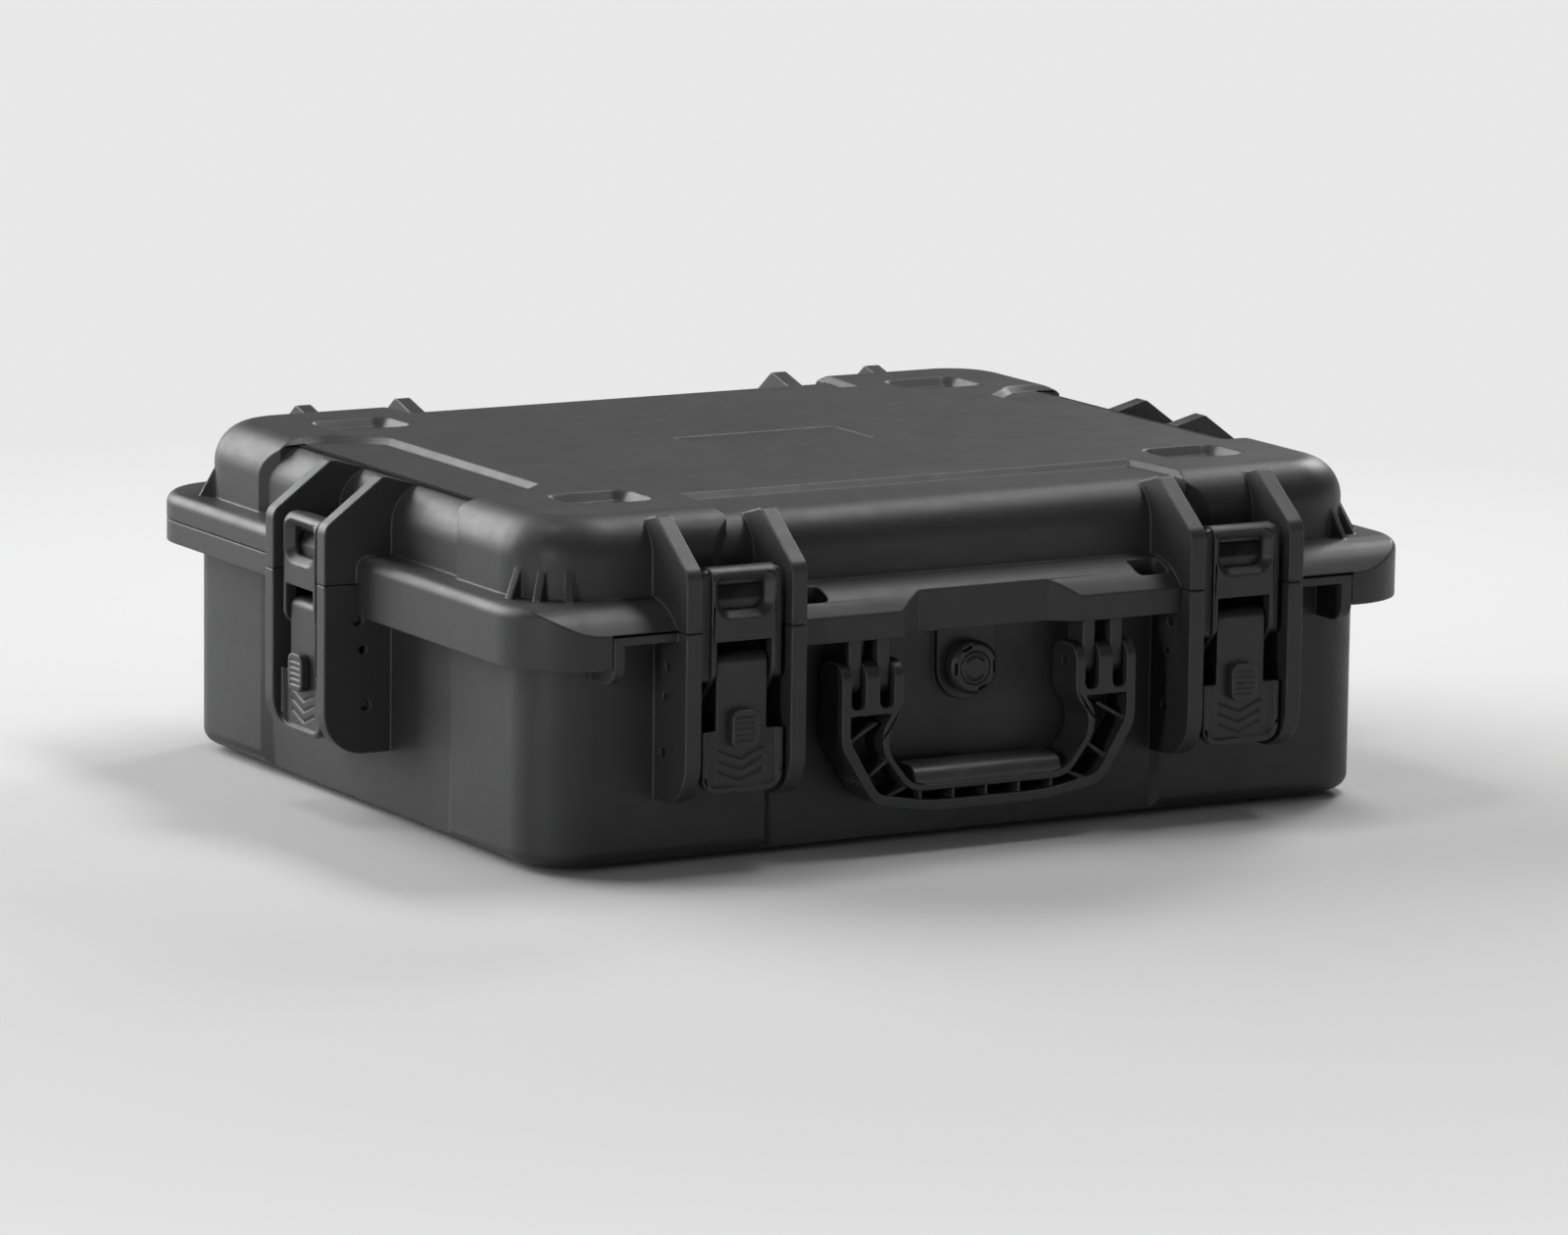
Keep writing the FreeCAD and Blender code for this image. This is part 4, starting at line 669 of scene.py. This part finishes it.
class CASE_OT_latches(bpy.types.Operator):
    """Finish the levers, catches and lock sliders"""

    bl_idname = "case.latches"
    bl_label = "Latches"

    def execute(self, context):
        finish = context.scene.case_finish
        edges = context.scene.case_edges
        plastic = moulded_plastic(
            "latch_plastic", finish, finish.latch_colour, finish.latch_roughness, LATCH_GRAIN)
        for bay in BAYS:
            dress("lever_" + bay, plastic, edges.latch_edge)
            dress("catch_" + bay, plastic, edges.latch_edge)
            dress("lock_slider_" + bay, plastic, edges.fine_edge)
        return {"FINISHED"}


class CASE_OT_handle(bpy.types.Operator):
    """Finish the carrying handle and its grip"""

    bl_idname = "case.handle"
    bl_label = "Handle"

    def execute(self, context):
        finish = context.scene.case_finish
        edges = context.scene.case_edges
        plastic = moulded_plastic(
            "handle_plastic", finish, finish.latch_colour, finish.latch_roughness, LATCH_GRAIN)
        rubber = soft_rubber("grip_rubber", finish, finish.rubber_colour)
        dress("handle_frame", plastic, edges.latch_edge, broad=True)
        dress("handle_grip", rubber, edges.latch_edge)
        return {"FINISHED"}


class CASE_OT_valve(bpy.types.Operator):
    """Finish the pressure valve"""

    bl_idname = "case.valve"
    bl_label = "Valve"

    def execute(self, context):
        finish = context.scene.case_finish
        edges = context.scene.case_edges
        plastic = moulded_plastic(
            "valve_plastic", finish, finish.valve_colour, finish.latch_roughness, VALVE_GRAIN)
        for node in ("valve_body", "valve_knob", "valve_nut"):
            dress(node, plastic, edges.fine_edge)
        dress("valve_seal", soft_rubber("seal_rubber", finish, finish.rubber_colour), 0)
        return {"FINISHED"}


class CASE_OT_pins(bpy.types.Operator):
    """Finish the steel pins and bars"""

    bl_idname = "case.pins"
    bl_label = "Pins"

    def execute(self, context):
        edges = context.scene.case_edges
        steel = ground_steel("pin_steel", context.scene.case_finish.steel_colour)
        rods = ["hinge_pin_left", "hinge_pin_right", "handle_pin_left", "handle_pin_right"]
        for bay in BAYS:
            rods += ["lever_pin_" + bay, "catch_pin_" + bay, "lock_bar_" + bay]
        for node in rods:
            dress(node, steel, edges.fine_edge)
        return {"FINISHED"}


def seen_ray(tree):
    """One for a ray from the camera, straight or by reflection or glass."""
    path = tree.add("ShaderNodeLightPath")
    mirrored = path.out("Is Glossy Ray") + path.out("Is Transmission Ray")
    return (path.out("Is Camera Ray") + mirrored).clamped()


def floor_material(stage):
    """Pale floor that takes the case's shadow and melts into the backdrop far from it."""
    shade = Shade("studio_floor")
    place = shade.object_place()
    seen = seen_ray(shade)
    far = shade.add("ShaderNodeVectorMath", {"operation": "LENGTH"}, {0: place}).out("Value")
    away = shade.span(far, (stage.melt_start, stage.melt_end))
    colour = shade.mix(seen, solid(stage.shade_colour), solid(stage.floor_colour))
    diffuse = shade.add("ShaderNodeBsdfDiffuse", None, {"Color": colour}).out("BSDF")
    glow = shade.add("ShaderNodeEmission", None,
                     {"Color": shaded(WHITE[:3], stage.backdrop_low)}).out("Emission")
    mixed = shade.add("ShaderNodeMixShader", None,
                      {0: away * seen, 1: diffuse, 2: glow}).out("Shader")
    shade.add("ShaderNodeOutputMaterial", None, {"Surface": mixed})
    return shade.material


def add_lamp(name, place, size, power, target):
    """Soft rectangular studio lamp, pointed at a target."""
    lamp = bpy.data.lights.new(name, "AREA")
    lamp.shape = "RECTANGLE"
    lamp.size, lamp.size_y = size
    lamp.energy = power
    thing = bpy.data.objects.new(name, lamp)
    bpy.context.scene.collection.objects.link(thing)
    thing.location = place
    thing.rotation_euler = (Vector(target) - Vector(place)).to_track_quat("-Z", "Y").to_euler()


class CASE_OT_stage(bpy.types.Operator):
    """Set the floor, lamps, room light and camera"""

    bl_idname = "case.stage"
    bl_label = "Stage"

    def execute(self, context):
        stage = context.scene.case_stage
        self.add_floor(stage)
        self.add_room(context.scene, stage)
        middle = (CAD_BOX[0] + CAD_BOX[1]) / 2
        for name, (place, size) in LAMPS.items():
            add_lamp("lamp_" + name, place, size, getattr(stage, name + "_power"), middle)
        self.add_camera(context.scene, stage)
        context.scene.view_settings.view_transform = "Standard"
        return {"FINISHED"}

    @staticmethod
    def add_floor(stage):
        """Round floor just under the case."""
        bpy.ops.mesh.primitive_circle_add(
            vertices=FLOOR_SIDES, radius=stage.floor_radius, fill_type="NGON")
        floor = bpy.context.object
        floor.name = "studio_floor"
        floor.location.z = -FLOOR_DROP
        floor.data.materials.append(floor_material(stage))

    @staticmethod
    def add_room(scene, stage):
        """Dim light all round, and a backdrop that the camera and reflections see."""
        world = bpy.data.worlds.new("studio_room")
        world.use_nodes = True
        world.node_tree.nodes.clear()
        scene.world = world
        room = Tree(world.node_tree)
        height = room.height_of(room.add("ShaderNodeTexCoord").out("Generated"))
        tone = room.span(height, BACKDROP_RISE, (stage.backdrop_low, stage.backdrop_high))
        light, back = [
            room.add("ShaderNodeBackground", None,
                     {"Color": WHITE, "Strength": strength}).out("Background")
            for strength in (stage.room_light, tone)]
        mixed = room.add("ShaderNodeMixShader", None, {0: seen_ray(room), 1: light, 2: back})
        room.add("ShaderNodeOutputWorld", None, {"Surface": mixed.out("Shader")})

    @staticmethod
    def add_camera(scene, stage):
        """Camera at the photograph's place and angle."""
        lens = bpy.data.cameras.new("photo_camera")
        lens.sensor_width = SENSOR_WIDTH
        lens.lens = stage.focal_pixels * SENSOR_WIDTH / PHOTO_WIDTH
        lens.clip_end = SIGHT_END
        camera = bpy.data.objects.new("photo_camera", lens)
        scene.collection.objects.link(camera)
        level = math.cos(stage.rise)
        back = Vector((math.sin(stage.turn) * level, -math.cos(stage.turn) * level,
                       math.sin(stage.rise)))
        right = Vector((0, 0, 1)).cross(back).normalized()
        up = back.cross(right)
        side = right * math.cos(stage.roll) + up * math.sin(stage.roll)
        top = up * math.cos(stage.roll) - right * math.sin(stage.roll)
        turned = Matrix((side, top, back)).transposed().to_4x4()
        camera.matrix_world = Matrix.Translation(Vector(stage.eye)) @ turned
        scene.camera = camera


class CASE_PT_builder(bpy.types.Panel):
    """Buttons that finish the case"""

    bl_label = "Equipment Case"
    bl_space_type = "VIEW_3D"
    bl_region_type = "UI"
    bl_category = "Case"

    def draw(self, context):
        for operator in OPERATORS:
            self.layout.operator(operator.bl_idname)
        for label in GROUPS:
            group = getattr(context.scene, label)
            column = self.layout.column(align=True)
            for name in group.__annotations__:
                column.prop(group, name)


OPERATORS = (CASE_OT_shells, CASE_OT_inside, CASE_OT_latches, CASE_OT_handle, CASE_OT_valve,
             CASE_OT_pins, CASE_OT_stage)
GROUPS = {"case_finish": CaseFinish, "case_edges": CaseEdges, "case_inside": CaseInside,
          "case_stage": CaseStage}


def register():
    for kind in (*GROUPS.values(), *OPERATORS, CASE_PT_builder):
        bpy.utils.register_class(kind)
    for name, group in GROUPS.items():
        setattr(bpy.types.Scene, name, PointerProperty(type=group))


def unregister():
    for name in GROUPS:
        delattr(bpy.types.Scene, name)
    for kind in reversed((*GROUPS.values(), *OPERATORS, CASE_PT_builder)):
        bpy.utils.unregister_class(kind)


def main():
    register()
    bpy.ops.case.shells()
    bpy.ops.case.inside()
    bpy.ops.case.latches()
    bpy.ops.case.handle()
    bpy.ops.case.valve()
    bpy.ops.case.pins()
    bpy.ops.case.stage()


if __name__ == "__main__":
    main()
